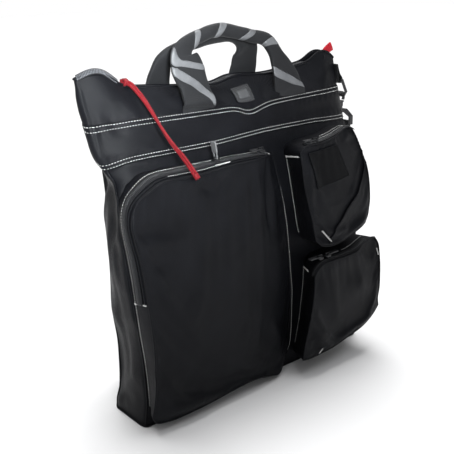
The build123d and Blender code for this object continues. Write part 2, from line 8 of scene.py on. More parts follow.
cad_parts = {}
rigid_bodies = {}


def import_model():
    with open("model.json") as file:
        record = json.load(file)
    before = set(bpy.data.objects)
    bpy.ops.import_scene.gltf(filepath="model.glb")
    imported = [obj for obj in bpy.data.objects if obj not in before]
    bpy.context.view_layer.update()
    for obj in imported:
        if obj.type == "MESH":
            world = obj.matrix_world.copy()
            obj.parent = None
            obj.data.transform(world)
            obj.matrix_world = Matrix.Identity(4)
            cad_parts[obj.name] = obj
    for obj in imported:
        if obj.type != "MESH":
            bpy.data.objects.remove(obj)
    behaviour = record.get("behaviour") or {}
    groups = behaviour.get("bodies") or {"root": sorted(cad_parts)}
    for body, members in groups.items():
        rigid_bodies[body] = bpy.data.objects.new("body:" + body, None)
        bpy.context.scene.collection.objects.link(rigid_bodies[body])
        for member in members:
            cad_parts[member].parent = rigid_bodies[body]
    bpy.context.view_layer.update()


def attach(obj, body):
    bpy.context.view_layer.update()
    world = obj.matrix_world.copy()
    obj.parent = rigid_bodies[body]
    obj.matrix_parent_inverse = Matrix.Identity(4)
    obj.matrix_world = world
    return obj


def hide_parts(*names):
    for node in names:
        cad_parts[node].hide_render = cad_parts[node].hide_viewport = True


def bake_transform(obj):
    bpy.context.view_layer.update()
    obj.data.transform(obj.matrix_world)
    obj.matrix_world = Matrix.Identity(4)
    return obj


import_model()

scene = bpy.context.scene
MM = 0.001

# Everything below is worked out in millimetres, in the CAD's own frame, and written in metres.


def link(o):
    scene.collection.objects.link(o)
    return o


# ------------------------------------------------------------------ camera
az, el, roll = math.radians(-39.4), math.radians(18.48), math.radians(-1.3)
target = Vector((-0.0281, 0.0, 0.2167))
back = Vector((math.sin(az) * math.cos(el), -math.cos(az) * math.cos(el), math.sin(el)))
side = (-back).cross(Vector((0, 0, 1))).normalized()
top = side.cross(-back)
side, top = math.cos(roll) * side + math.sin(roll) * top, -math.sin(roll) * side + math.cos(roll) * top
place = target + back * 1.0093
cam_data = bpy.data.cameras.new("view_camera")
cam = link(bpy.data.objects.new("view_camera", cam_data))
cam.matrix_world = Matrix((
    (side.x, top.x, back.x, place.x), (side.y, top.y, back.y, place.y), (side.z, top.z, back.z, place.z), (0, 0, 0, 1)))
cam_data.sensor_width = 36
cam_data.lens = 60.9
scene.camera = cam
scene.view_settings.view_transform = "Standard"


# ------------------------------------------------------------------ numeric helpers
def arr(v):
    return np.asarray(v, float)


def pchip(xk, yk, x):
    """Shape-keeping cubic through the knots."""
    xk, yk, x = arr(xk), arr(yk), arr(x)
    h = np.diff(xk)
    d = np.diff(yk) / h
    m = np.zeros(len(xk))
    m[0], m[-1] = d[0], d[-1]
    for i in range(1, len(xk) - 1):
        a, b = d[i - 1], d[i]
        if a * b > 0:
            w1, w2 = 2 * h[i] + h[i - 1], h[i] + 2 * h[i - 1]
            m[i] = (w1 + w2) / (w1 / a + w2 / b)
    i = np.clip(np.searchsorted(xk, x) - 1, 0, len(h) - 1)
    t = np.clip((x - xk[i]) / h[i], 0, 1)
    return ((1 + 2 * t) * (1 - t) ** 2 * yk[i] + t * (1 - t) ** 2 * h[i] * m[i]
            + t * t * (3 - 2 * t) * yk[i + 1] + t * t * (t - 1) * h[i] * m[i + 1])


def table(zk, sk, rows, z, s):
    """A smooth surface through a table of values, at z by s."""
    rows = arr(rows)
    cols = np.array([pchip(zk, rows[:, j], z) for j in range(rows.shape[1])])
    return np.array([pchip(sk, cols[:, i], s) for i in range(len(z))])


def unit(v):
    return v / np.maximum(np.linalg.norm(v, axis=-1, keepdims=True), 1e-12)


def along(points):
    points = arr(points)
    return np.concatenate([[0], np.cumsum(np.linalg.norm(np.diff(points, axis=0), axis=1))])


def smooth_path(points, n, closed=False):
    """n points evenly along a smooth curve through these."""
    p = arr(points)
    if closed:
        p = np.vstack([p, p[:1]])
    k = len(p)
    if closed:
        before, after = p[-2], p[1]
    else:
        before, after = 2 * p[0] - p[1], 2 * p[-1] - p[-2]
    q = np.vstack([before, p, after])
    out = []
    for i in range(k - 1):
        a, b, c, d = q[i], q[i + 1], q[i + 2], q[i + 3]
        t0 = 0.0
        t1 = t0 + max(np.linalg.norm(b - a), 1e-9) ** 0.5
        t2 = t1 + max(np.linalg.norm(c - b), 1e-9) ** 0.5
        t3 = t2 + max(np.linalg.norm(d - c), 1e-9) ** 0.5
        t = np.linspace(t1, t2, 24, endpoint=(i == k - 2))[:, None]
        a1 = (t1 - t) / (t1 - t0) * a + (t - t0) / (t1 - t0) * b
        a2 = (t2 - t) / (t2 - t1) * b + (t - t1) / (t2 - t1) * c
        a3 = (t3 - t) / (t3 - t2) * c + (t - t2) / (t3 - t2) * d
        b1 = (t2 - t) / (t2 - t0) * a1 + (t - t0) / (t2 - t0) * a2
        b2 = (t3 - t) / (t3 - t1) * a2 + (t - t1) / (t3 - t1) * a3
        out.append((t2 - t) / (t2 - t1) * b1 + (t - t1) / (t2 - t1) * b2)
    dense = np.vstack(out)
    s = along(dense)
    at = np.linspace(0, s[-1], n + 1)[:-1] if closed else np.linspace(0, s[-1], n)
    return np.stack([np.interp(at, s, dense[:, j]) for j in range(dense.shape[1])], 1)


def noise_at(points, size, seed=0.0, stretch=(1, 1, 1)):
    """Smooth noise from -1 to 1 at points in mm; size is the wavelength in mm."""
    p = arr(points).reshape(-1, 3) * arr(stretch) / size + seed * 17.31
    return np.array([noise.noise(Vector(v)) for v in p]).reshape(np.shape(points)[:-1])


def crumple(points, size, seed, stretch=(1, 1, 1)):
    """Sharp creases with soft cloth between them, from -1 to 1."""
    a = noise_at(points, size, seed, stretch)
    b = noise_at(points, size * 0.52, seed + 0.7, stretch)
    return (1 - 3.4 * np.abs(a)) * 0.6 + (1 - 3.4 * np.abs(b)) * 0.28


class Surf:
    """A grid of points [v, u] with its parameters, looked up by bilinear interpolation."""

    def __init__(self, P, v, u, closed=False):
        self.P, self.v, self.u, self.closed = P, arr(v), arr(u), closed
        self.N = normals(P, closed)

    def at(self, v, u, lift=0.0):
        v, u = np.broadcast_arrays(arr(v), arr(u))
        i = np.interp(v, self.v, np.arange(len(self.v)))
        j = np.interp(u, self.u, np.arange(len(self.u)))
        i0, j0 = np.minimum(i.astype(int), len(self.v) - 2), np.minimum(j.astype(int), len(self.u) - 2)
        a, b = (i - i0)[..., None], (j - j0)[..., None]

        def mix(G):
            return (G[i0, j0] * (1 - a) * (1 - b) + G[i0 + 1, j0] * a * (1 - b)
                    + G[i0, j0 + 1] * (1 - a) * b + G[i0 + 1, j0 + 1] * a * b)

        n = unit(mix(self.N))
        return mix(self.P) + n * lift, n


def normals(P, closed=False):
    if closed:
        du = np.roll(P, -1, 1) - np.roll(P, 1, 1)
    else:
        du = np.gradient(P, axis=1)
    dv = np.gradient(P, axis=0)
    return unit(np.cross(du, dv))


# ------------------------------------------------------------------ mesh builders
def put(name, verts, faces, material, body=None, smooth=True):
    mesh = bpy.data.meshes.new(name)
    mesh.from_pydata([tuple(v) for v in arr(verts) * MM], [], [tuple(int(i) for i in f) for f in faces])
    mesh.update()
    if smooth:
        mesh.polygons.foreach_set("use_smooth", [True] * len(mesh.polygons))
    o = link(bpy.data.objects.new(name, mesh))
    mesh.materials.append(material)
    if body:
        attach(o, body)
    return o


def shell_mesh(P, th, closed=False):
    """A closed sheet: P is its outer face [v, u], th its thickness, the inner face behind it."""
    nv, nu = P.shape[:2]
    N = normals(P, closed)
    th = np.broadcast_to(arr(th), P.shape[:2])[..., None]
    verts = np.concatenate([P.reshape(-1, 3), (P - N * th).reshape(-1, 3)])
    off = nv * nu
    faces = []
    span = nu if closed else nu - 1
    for i in range(nv - 1):
        for j in range(span):
            k = (j + 1) % nu
            a, b, c, d = i * nu + j, i * nu + k, (i + 1) * nu + k, (i + 1) * nu + j
            faces.append((a, b, c, d))
            faces.append((off + a, off + d, off + c, off + b))
    for j in range(span):
        k = (j + 1) % nu
        faces.append((j, off + j, off + k, k))
        a, b = (nv - 1) * nu + j, (nv - 1) * nu + k
        faces.append((a, b, off + b, off + a))
    if not closed:
        for i in range(nv - 1):
            a, d = i * nu, (i + 1) * nu
            faces.append((a, d, off + d, off + a))
            b, c = i * nu + nu - 1, (i + 1) * nu + nu - 1
            faces.append((b, off + b, off + c, c))
    return verts, faces


def sheet_piece(name, P, th, material, body="root", closed=False):
    verts, faces = shell_mesh(P, th, closed)
    return put(name, verts, faces, material, body)


def capsules(name, centre, direction, up, length, radius, material, body="root", arch=0.0, flat=1.0, sides=6):
    """Many small rounded bars, each arched over the surface it lies on."""
    centre, direction, up = arr(centre), unit(arr(direction)), arr(up)
    n = len(centre)
    length = np.broadcast_to(arr(length), n)
    across = unit(np.cross(direction, up))
    up = unit(np.cross(across, direction))
    st = arr([-0.5, -0.42, -0.2, 0.2, 0.42, 0.5])
    rr = arr([0.35, 0.8, 1.0, 1.0, 0.8, 0.35]) * radius
    lift = arr([-1.0, -0.45, 0.0, 0.0, -0.45, -1.0]) * arch
    ang = np.linspace(0, 2 * np.pi, sides, endpoint=False)
    ring = (across[:, None, None] * np.cos(ang)[None, None, :, None] + up[:, None, None] * np.sin(ang)[None, None, :, None] * flat)
    pts = (centre[:, None, None] + direction[:, None, None] * (st[None, :, None, None] * length[:, None, None, None])
           + up[:, None, None] * lift[None, :, None, None] + ring * rr[None, :, None, None])
    m = len(st)
    base = []
    for i in range(m - 1):
        for j in range(sides):
            k = (j + 1) % sides
            base.append((i * sides + j, (i + 1) * sides + j, (i + 1) * sides + k, i * sides + k))
    ends = [tuple(range(sides)), tuple((m - 1) * sides + j for j in range(sides))[::-1]]
    faces = []
    for q in range(n):
        o = q * m * sides
        faces += [tuple(o + i for i in f) for f in base] + [tuple(o + i for i in f) for f in ends]
    return put(name, pts.reshape(-1, 3), faces, material, body)


def frames_along(P, up):
    P = arr(P)
    T = unit(np.gradient(P, axis=0))
    up = np.broadcast_to(arr(up), P.shape)
    B = unit(np.cross(T, up))
    return T, B, unit(np.cross(B, T))


def step_along(P, U, pitch, start=0.0):
    s = along(P)
    at = np.arange(start + pitch / 2, s[-1] - pitch / 3, pitch)
    pos = np.stack([np.interp(at, s, P[:, j]) for j in range(3)], 1)
    nrm = unit(np.stack([np.interp(at, s, U[:, j]) for j in range(3)], 1))
    tan = unit(np.stack([np.interp(at, s, np.gradient(P[:, j], s)) for j in range(3)], 1))
    return pos, nrm, tan


STITCHES = {}


def stitch(group, path, pitch=3.5, length=2.1, radius=0.37, lift=0.28, angle=0.0):
    """A row of lock stitches along (points, normals), gathered into one piece for each group."""
    P, U = path
    pos, nrm, tan = step_along(P, U, pitch)
    if angle:
        b = np.cross(nrm, tan)
        tan = unit(tan * math.cos(angle) + b * math.sin(angle))
    STITCHES.setdefault(group, []).append((pos + nrm * lift, tan, nrm, np.full(len(pos), length), radius))


def bartack(group, a, b, n, width=2.2, pitch=0.75):
    """A dense zigzag from a to b on a surface of normal n."""
    a, b, n = arr(a), arr(b), unit(arr(n))
    L = np.linalg.norm(b - a)
    t = unit(b - a)
    across = unit(np.cross(n, t))
    k = max(int(L / pitch), 3)
    f = np.linspace(0, 1, k)[:, None]
    pos = a + (b - a) * f + n * 0.45
    zig = np.where(np.arange(k) % 2 == 0, 1.0, -1.0)[:, None]
    tan = unit(across + t * 0.35 * zig)
    STITCHES.setdefault(group, []).append((pos, tan, np.repeat(n[None], k, 0), np.full(k, width), 0.36))


def tube_mesh(P, up, radius, sides=10, closed=False, flat=1.0):
    P = arr(P)
    if closed:
        T = unit(np.roll(P, -1, 0) - np.roll(P, 1, 0))
        up = np.broadcast_to(arr(up), P.shape)
        B = unit(np.cross(T, up))
        U = unit(np.cross(B, T))
    else:
        T, B, U = frames_along(P, up)
    radius = np.broadcast_to(arr(radius), len(P))
    ang = np.linspace(0, 2 * np.pi, sides, endpoint=False)
    V = P[:, None] + radius[:, None, None] * (B[:, None] * np.cos(ang)[None, :, None] + flat * U[:, None] * np.sin(ang)[None, :, None])
    n = len(P)
    faces = []
    for i in range(n if closed else n - 1):
        for j in range(sides):
            k, m = (j + 1) % sides, (i + 1) % n
            faces.append((i * sides + j, m * sides + j, m * sides + k, i * sides + k)[::-1])
    if not closed:
        faces.append(tuple(range(sides)))
        faces.append(tuple((n - 1) * sides + j for j in range(sides))[::-1])
    return V.reshape(-1, 3), faces


def tube(name, P, up, radius, material, body="root", sides=10, closed=False, flat=1.0):
    v, f = tube_mesh(P, up, radius, sides, closed, flat)
    return put(name, v, f, material, body)


def ribbon(name, C, W, N, half, thick, material, body="root", crown=0.0, nu=13):
    """A strip of webbing: centre line, width direction, face normal, half width, thickness."""
    C = arr(C)
    W, N = (unit(np.broadcast_to(arr(q), C.shape)) for q in (W, N))
    half = np.broadcast_to(arr(half), len(C))[:, None, None]
    w = np.linspace(-1, 1, nu)
    th = thick * 0.5 * (1 - 0.55 * np.abs(w) ** 8)
    rise = crown * (1 - w ** 2)
    up = C[:, None] + W[:, None] * half * w[None, :, None] + N[:, None] * (rise + th)[None, :, None]
    dn = C[:, None] + W[:, None] * half * w[None, :, None] + N[:, None] * (rise - th)[None, :, None]
    loop = np.concatenate([up, dn[:, ::-1]], 1)
    n, m = loop.shape[:2]
    faces = []
    for i in range(n - 1):
        for j in range(m):
            k = (j + 1) % m
            faces.append((i * m + j, i * m + k, (i + 1) * m + k, (i + 1) * m + j))
    faces.append(tuple(range(m))[::-1])
    faces.append(tuple((n - 1) * m + j for j in range(m)))
    return put(name, loop.reshape(-1, 3), faces, material, body)


# ------------------------------------------------------------------ materials
def shader(name, colour, rough, metal=0.0, spec=0.5, sheen=0.0, sheen_rough=0.5, coat=0.0):
    m = bpy.data.materials.new(name)
    m.use_nodes = True
    nt = m.node_tree
    p = nt.nodes["Principled BSDF"]
    p.inputs["Base Color"].default_value = (*colour, 1)
    p.inputs["Roughness"].default_value = rough
    p.inputs["Metallic"].default_value = metal
    p.inputs["Specular IOR Level"].default_value = spec
    p.inputs["Sheen Weight"].default_value = sheen
    p.inputs["Sheen Roughness"].default_value = sheen_rough
    p.inputs["Coat Weight"].default_value = coat
    return m, nt, p


def node(nt, kind, **inputs):
    n = nt.nodes.new(kind)
    for k, v in inputs.items():
        if k.startswith("_"):
            setattr(n, k[1:], v)
        else:
            n.inputs[k.replace("__", " ")].default_value = v
    return n


def math_node(nt, op, a, b=None):
    n = nt.nodes.new("ShaderNodeMath")
    n.operation = op
    for i, v in enumerate((a, b)):
        if v is None:
            continue
        if isinstance(v, (int, float)):
            n.inputs[i].default_value = v
        else:
            nt.links.new(v, n.inputs[i])
    return n.outputs[0]


def weave_coords(nt):
    """Two lengths in mm that run along the cloth on the front, the sides and the top alike."""
    tc = node(nt, "ShaderNodeTexCoord")
    sep = node(nt, "ShaderNodeSeparateXYZ")
    nt.links.new(tc.outputs["Object"], sep.inputs[0])
    u = math_node(nt, "MULTIPLY", math_node(nt, "ADD", sep.outputs[0], math_node(nt, "MULTIPLY", sep.outputs[1], 0.62)), 1000.0)
    v = math_node(nt, "MULTIPLY", math_node(nt, "SUBTRACT", sep.outputs[2], math_node(nt, "MULTIPLY", sep.outputs[1], 0.78)), 1000.0)
    return tc.outputs["Object"], u, v


def tone(nt, coords, low, high, size_mm, detail=3.0):
    """A colour that wanders between two tones over a few centimetres."""
    n = node(nt, "ShaderNodeTexNoise", Scale=1000.0 / size_mm, Detail=detail, Roughness=0.55)
    nt.links.new(coords, n.inputs["Vector"])
    r = node(nt, "ShaderNodeMapRange")
    r.inputs["From Min"].default_value, r.inputs["From Max"].default_value = 0.3, 0.7
    nt.links.new(n.outputs["Fac"], r.inputs["Value"])
    m = node(nt, "ShaderNodeMix", _data_type="RGBA")
    m.inputs["A"].default_value, m.inputs["B"].default_value = (*low, 1), (*high, 1)
    nt.links.new(r.outputs[0], m.inputs["Factor"])
    return m.outputs["Result"], r.outputs[0]


def cloth_material(name, low, high, rough, pitch, depth, spec=0.35, sheen=0.0, sheen_rough=0.45, crinkle=0.25, twill=0.0, patch=45.0):
    """Plain or twill weave with its own bump, tone that wanders and a soft gloss."""
    m, nt, p = shader(name, low, rough, spec=spec, sheen=sheen, sheen_rough=sheen_rough)
    co, u, v = weave_coords(nt)
    colour, fac = tone(nt, co, low, high, patch)
    k = 2 * math.pi / pitch
    a = math_node(nt, "SINE", math_node(nt, "MULTIPLY", math_node(nt, "ADD", u, math_node(nt, "MULTIPLY", v, twill)), k))
    b = math_node(nt, "SINE", math_node(nt, "MULTIPLY", v, k))
    w = math_node(nt, "MULTIPLY", a, b)
    fine = node(nt, "ShaderNodeTexNoise", Scale=900.0, Detail=2.0, Roughness=0.6)
    nt.links.new(co, fine.inputs["Vector"])
    shade = node(nt, "ShaderNodeMix", _data_type="RGBA", _blend_type="MULTIPLY")
    shade.inputs["Factor"].default_value = 1.0
    nt.links.new(colour, shade.inputs["A"])
    ramp = node(nt, "ShaderNodeMapRange")
    for key, val in (("From Min", -1.0), ("From Max", 1.0), ("To Min", 0.78), ("To Max", 1.12)):
        ramp.inputs[key].default_value = val
    nt.links.new(math_node(nt, "ADD", math_node(nt, "MULTIPLY", w, 0.6),
                           math_node(nt, "MULTIPLY", math_node(nt, "SUBTRACT", fine.outputs["Fac"], 0.5), 1.6)), ramp.inputs["Value"])
    grey = node(nt, "ShaderNodeCombineColor")
    for i in range(3):
        nt.links.new(ramp.outputs[0], grey.inputs[i])
    nt.links.new(grey.outputs[0], shade.inputs["B"])
    nt.links.new(shade.outputs["Result"], p.inputs["Base Color"])
    rr = node(nt, "ShaderNodeMapRange")
    for key, val in (("From Min", 0.0), ("From Max", 1.0), ("To Min", rough - 0.05), ("To Max", rough + 0.07)):
        rr.inputs[key].default_value = val
    nt.links.new(fac, rr.inputs["Value"])
    nt.links.new(rr.outputs[0], p.inputs["Roughness"])
    cr = node(nt, "ShaderNodeTexNoise", Scale=110.0, Detail=4.0, Roughness=0.6)
    nt.links.new(co, cr.inputs["Vector"])
    bump1 = node(nt, "ShaderNodeBump", Strength=0.5, Distance=depth * MM)
    nt.links.new(w, bump1.inputs["Height"])
    bump2 = node(nt, "ShaderNodeBump", Strength=0.6, Distance=crinkle * MM)
    nt.links.new(cr.outputs["Fac"], bump2.inputs["Height"])
    nt.links.new(bump1.outputs[0], bump2.inputs["Normal"])
    nt.links.new(bump2.outputs[0], p.inputs["Normal"])
    return m


def plastic_material(name, low, high, rough, metal=0.0, spec=0.5, scratch=0.03, coat=0.0):
    m, nt, p = shader(name, low, rough, metal=metal, spec=spec, coat=coat)
    tc = node(nt, "ShaderNodeTexCoord")
    colour, fac = tone(nt, tc.outputs["Object"], low, high, 9.0)
    nt.links.new(colour, p.inputs["Base Color"])
    rr = node(nt, "ShaderNodeMapRange")
    for key, val in (("From Min", 0.0), ("From Max", 1.0), ("To Min", rough - 0.07), ("To Max", rough + 0.09)):
        rr.inputs[key].default_value = val
    nt.links.new(fac, rr.inputs["Value"])
    nt.links.new(rr.outputs[0], p.inputs["Roughness"])
    g = node(nt, "ShaderNodeTexNoise", Scale=1400.0, Detail=2.0)
    nt.links.new(tc.outputs["Object"], g.inputs["Vector"])
    b = node(nt, "ShaderNodeBump", Strength=0.4, Distance=scratch * MM)
    nt.links.new(g.outputs["Fac"], b.inputs["Height"])
    nt.links.new(b.outputs[0], p.inputs["Normal"])
    return m


NYLON = cloth_material("shell_nylon", (0.0047, 0.0049, 0.0061), (0.0073, 0.0076, 0.0094), 0.40, 0.9, 0.10, spec=0.08, sheen=0.0, crinkle=0.25)
NYLON_IN = cloth_material("lining", (0.020, 0.020, 0.022), (0.027, 0.027, 0.030), 0.62, 0.9, 0.07, spec=0.3)
WEB = cloth_material("webbing", (0.0110, 0.0113, 0.0125), (0.0160, 0.0164, 0.0180), 0.62, 1.9, 0.30, spec=0.16, sheen=0.06, crinkle=0.08, twill=0.5)
STRIPE = cloth_material("reflective_stripe", (0.092, 0.094, 0.099), (0.138, 0.141, 0.147), 0.42, 0.8, 0.06, spec=0.5, crinkle=0.05, patch=18.0)
THREAD = cloth_material("stitch_thread", (0.50, 0.50, 0.485), (0.66, 0.66, 0.645), 0.60, 0.5, 0.05, spec=0.3, sheen=0.2, crinkle=0.02, patch=12.0)
TAPE = cloth_material("zip_tape", (0.0085, 0.0087, 0.0100), (0.0125, 0.0128, 0.0145), 0.66, 1.2, 0.16, spec=0.14, sheen=0.04, crinkle=0.05)
CHAIN = plastic_material("zip_chain", (0.020, 0.021, 0.023), (0.032, 0.033, 0.036), 0.34, spec=0.55)
# a lighter copy of the zip chain's colour for the coil on the left ear: painted light, where the light from the top
# left falls on it
COIL_PAINTED_LIGHT = plastic_material("zip_coil_painted_light", (0.065, 0.068, 0.075), (0.11, 0.114, 0.124), 0.38, spec=0.5)
BLACK = plastic_material("black_metal", (0.016, 0.016, 0.018), (0.026, 0.026, 0.028), 0.30, metal=0.35, spec=0.6)
BRIGHT = plastic_material("bright_metal", (0.62, 0.62, 0.64), (0.74, 0.74, 0.75), 0.22, metal=1.0)
TABM = plastic_material("puller_tab", (0.018, 0.0184, 0.020), (0.028, 0.0285, 0.030), 0.52, spec=0.25)
SLIDER = plastic_material("slider_metal", (0.011, 0.0112, 0.0125), (0.019, 0.0192, 0.021), 0.40, metal=0.2, spec=0.3)
GREYTAB = plastic_material("grey_puller_tab", (0.13, 0.132, 0.136), (0.18, 0.182, 0.186), 0.50, spec=0.4)
RED = cloth_material("red_cord", (0.135, 0.0030, 0.0065), (0.200, 0.0052, 0.0105), 0.52, 1.3, 0.22, spec=0.2, sheen=0.05, crinkle=0.05, twill=0.9, patch=8.0)
RED_TAB = cloth_material("red_tab", (0.42, 0.008, 0.018), (0.55, 0.013, 0.028), 0.52, 1.3, 0.22, spec=0.2, sheen=0.05, crinkle=0.05, twill=0.9, patch=8.0)
RUBBER = plastic_material("label_rubber", (0.024, 0.0242, 0.026), (0.034, 0.0342, 0.036), 0.58, spec=0.3)
FIELD = plastic_material("label_field", (0.050, 0.0505, 0.053), (0.068, 0.0685, 0.071), 0.60, spec=0.3)
LOOP = cloth_material("hook_loop", (0.0050, 0.0050, 0.0056), (0.0080, 0.0080, 0.0088), 0.90, 1.1, 0.55, spec=0.06, sheen=0.02, crinkle=0.5, patch=6.0)
BUCKLE = plastic_material("buckle_plastic", (0.017, 0.017, 0.018), (0.024, 0.024, 0.026), 0.42, spec=0.5)
BOARD = plastic_material("board", (0.045, 0.043, 0.040), (0.060, 0.057, 0.052), 0.70, spec=0.3)


# ------------------------------------------------------------------ the cord, first
cord_pts = [
    (-156.0, 34.5, 416.3), (-149.5, 26.5, 416.0), (-147.0, 15.0, 407.6), (-143.5, 3.5, 396.0),
    (-142.0, -10.5, 381.5), (-139.0, -22.5, 365.5), (-133.0, -30.5, 350.0), (-128.0, -40.5, 338.5),
    (-126.5, -54.0, 327.0), (-123.5, -65.5, 313.5),
]
route = bpy.data.curves.new("cord_route", "CURVE")
route.dimensions = "3D"
line = route.splines.new("NURBS")
line.points.add(len(cord_pts) - 1)
for point, c in zip(line.points, cord_pts):
    point.co = (c[0] * MM, c[1] * MM, c[2] * MM, 1.0)
line.order_u = 3
line.use_endpoint_u = True
line.resolution_u = 14
route_obj = link(bpy.data.objects.new("cord_route", route))
bpy.context.view_layer.update()
route_mesh = bpy.data.meshes.new_from_object(route_obj)
cord_line = np.array([v.co for v in route_mesh.vertices], float) * 1000
bpy.data.objects.remove(route_obj)
bpy.data.meshes.remove(route_mesh)


def rope_strand(P, sideways, phase, radius=1.75, twist=0.020):
    """One strand of the doubled cord, with its braid."""
    s = along(P)
    at = np.linspace(0, s[-1], 150)
    C = np.stack([np.interp(at, s, P[:, j]) for j in range(3)], 1)
    T, B, U = frames_along(C, (-0.55, -0.75, 0.35))
    a = phase + at * twist
    off = B * np.cos(a)[:, None] + U * np.sin(a)[:, None] * 0.5
    wob = 1 + 0.05 * np.sin(at * 1.9 + phase)
    return C + off * sideways, U, radius * wob, at


verts, faces = [], []
for phase in (0.0, math.pi):
    C, U, r, at = rope_strand(cord_line, 1.6, phase)
    T, B, U2 = frames_along(C, U)
    sides = 12
    ang = np.linspace(0, 2 * np.pi, sides, endpoint=False)
    braid = 1 + 0.07 * np.sin(ang[None, :] * 3 + at[:, None] * 2.2) * np.sin(ang[None, :] * 3 - at[:, None] * 2.2)
    V = C[:, None] + (r[:, None] * braid)[..., None] * (B[:, None] * np.cos(ang)[None, :, None] + U2[:, None] * np.sin(ang)[None, :, None])
    o = len(verts)
    verts.extend(V.reshape(-1, 3))
    n = len(C)
    for i in range(n - 1):
        for j in range(sides):
            k = (j + 1) % sides
            faces.append((o + i * sides + j, o + i * sides + k, o + (i + 1) * sides + k, o + (i + 1) * sides + j))
    faces.append(tuple(o + j for j in range(sides))[::-1])
    faces.append(tuple(o + (n - 1) * sides + j for j in range(sides)))
pull_cord = put("pull_cord_strands", verts, faces, RED, "main_slider")
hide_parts("pull_cord")

# the cord's hitch round the wire, and the whipping that ends it
hitch_c = arr((-154.5, 33.0, 416.0))
t = np.linspace(0, 2 * np.pi, 40, endpoint=False)
hv, hf = [], []
for k, (tilt, dx) in enumerate(((0.5, -1.6), (-0.5, 1.6))):
    ring = np.stack([dx + 1.0 * np.sin(t) * tilt, 4.0 * np.cos(t), 3.0 * np.sin(t)], 1) + hitch_c + arr((2.6, -2.0, -0.6))
    v, f = tube_mesh(ring, (1, 0.2, 0.1), 1.9, 10, closed=True)
    hf += [tuple(i + len(hv) for i in q) for q in f]
    hv += list(v)
hitch = put("pull_cord_hitch", hv, hf, RED, "main_slider")
end = cord_line[-1]
direction = unit(cord_line[-1] - cord_line[-8])
P = np.array([end - direction * 5.0 + direction * q for q in np.linspace(0, 6.6, 24)])
whip = tube("pull_cord_whipping", P, (0.3, -0.9, 0.2),
            4.15 * np.clip(1.25 - np.abs(np.linspace(-1, 1, 24)) ** 6 * 0.6, 0, 1) * (1 + 0.035 * np.sin(np.arange(24) * 2.6)), RED, "main_slider", 14, flat=0.72)

# ------------------------------------------------------------------ the bag's own surface
# A ring of points at each height, in the order front (left to right), right side, back (right to left), left side.
NF, NG = 141, 21
zeta = np.unique(np.concatenate([np.linspace(0, 24, 7), np.linspace(24, 318, 60), np.linspace(318, 409, 46)]))
s_front = np.linspace(-1, 1, NF)

fl_x = pchip([0, 12, 40, 80, 110, 150, 200, 250, 275, 295, 312, 330, 345, 371, 388, 405, 409],
             [-195, -192, -188.5, -189, -191, -194.5, -199, -203, -203.5, -200.5, -199, -201.5, -204, -206.5, -208.5, -211.5, -212.5], zeta)
fl_y = pchip([0, 40, 80, 150, 200, 250, 275, 295, 312, 330, 345, 371, 388, 405, 409],
             [-34.5, -33, -31.5, -28.5, -26, -22, -18, -12, -4, 5, 13, 22, 29, 34, 35], zeta)
bl_x = pchip([0, 13, 30, 60, 92, 135, 184, 222, 256, 284, 300, 315, 330, 345, 371, 388, 405, 409],
             [-195, -194, -189, -187.5, -187, -188, -186, -186.5, -187.5, -186.5, -184.5, -189, -198, -203, -206, -208, -211, -212], zeta)
bl_y = pchip([0, 30, 60, 92, 135, 184, 222, 256, 284, 300, 315, 330, 345, 371, 388, 405, 409],
             [34.5, 34.5, 35, 35.5, 38, 36.5, 37.5, 39, 36, 33, 31, 29, 28, 32, 36, 40, 41], zeta)
fr_x = pchip([0, 40, 100, 200, 280, 300, 330, 345, 371, 388, 405, 409],
             [195, 192, 195, 200, 202, 200, 200.5, 202, 203.5, 204, 205.5, 206], zeta)
fr_y = pchip([0, 40, 100, 200, 250, 280, 300, 330, 345, 371, 388, 405, 409],
             [-34.5, -33, -30, -26, -22, -17, -9, 5, 13, 22, 28, 33, 34], zeta)
br_x = pchip([0, 40, 100, 200, 280, 300, 330, 345, 371, 388, 405, 409],
             [195, 190, 191, 192, 192, 191, 197, 201, 203, 203.5, 205, 205.5], zeta)
br_y = pchip([0, 40, 100, 200, 280, 300, 330, 345, 371, 388, 405, 409],
             [34.5, 36, 40, 42, 42, 39, 31, 29, 32, 35, 39, 40], zeta)

zk = [0, 30, 100, 200, 280, 300, 316, 330, 345, 371, 388, 400, 409]
sk = [-1, -0.9, -0.75, -0.5, -0.25, 0, 0.25, 0.5, 0.75, 0.9, 1]
front_y = table(zk, sk, [
    [-34.5] * 11,
    [-33.5, -34.5, -35, -35.5, -36, -36, -36, -35.5, -35, -34.5, -33.5],
    [-31, -31.5, -32, -32.5, -33, -33, -33, -32.5, -32, -31.5, -30],
    [-26, -27.5, -28, -28.5, -29, -29, -29, -28.5, -28, -27.5, -26],
    [-17.5, -22.5, -24, -24.5, -24.5, -24.5, -24.5, -24.5, -24, -22, -17],
    [-10, -18, -21.5, -22, -22, -22, -22, -22, -21.5, -17, -9],
    [-2, -13, -17.5, -18.5, -19, -19, -19, -18.5, -16.5, -11, 0],
    [6, -7.5, -11.5, -13, -14, -14.5, -14, -12.5, -9.5, -3, 8],
    [14, 0, -4, -7, -9, -10, -9, -7, -3, 4, 16],
    [24, 11, 5, 0, -3, -5, -3, 0, 6, 13, 25],
    [30, 19, 14, 9, 6, 5, 7, 11, 16, 21, 30],
    [34, 26, 22, 19, 17, 16.5, 18, 21, 24, 28, 33],
    [35, 31, 29.5, 28.5, 28, 28, 28, 28.5, 29.5, 31, 34],
], zeta, s_front)
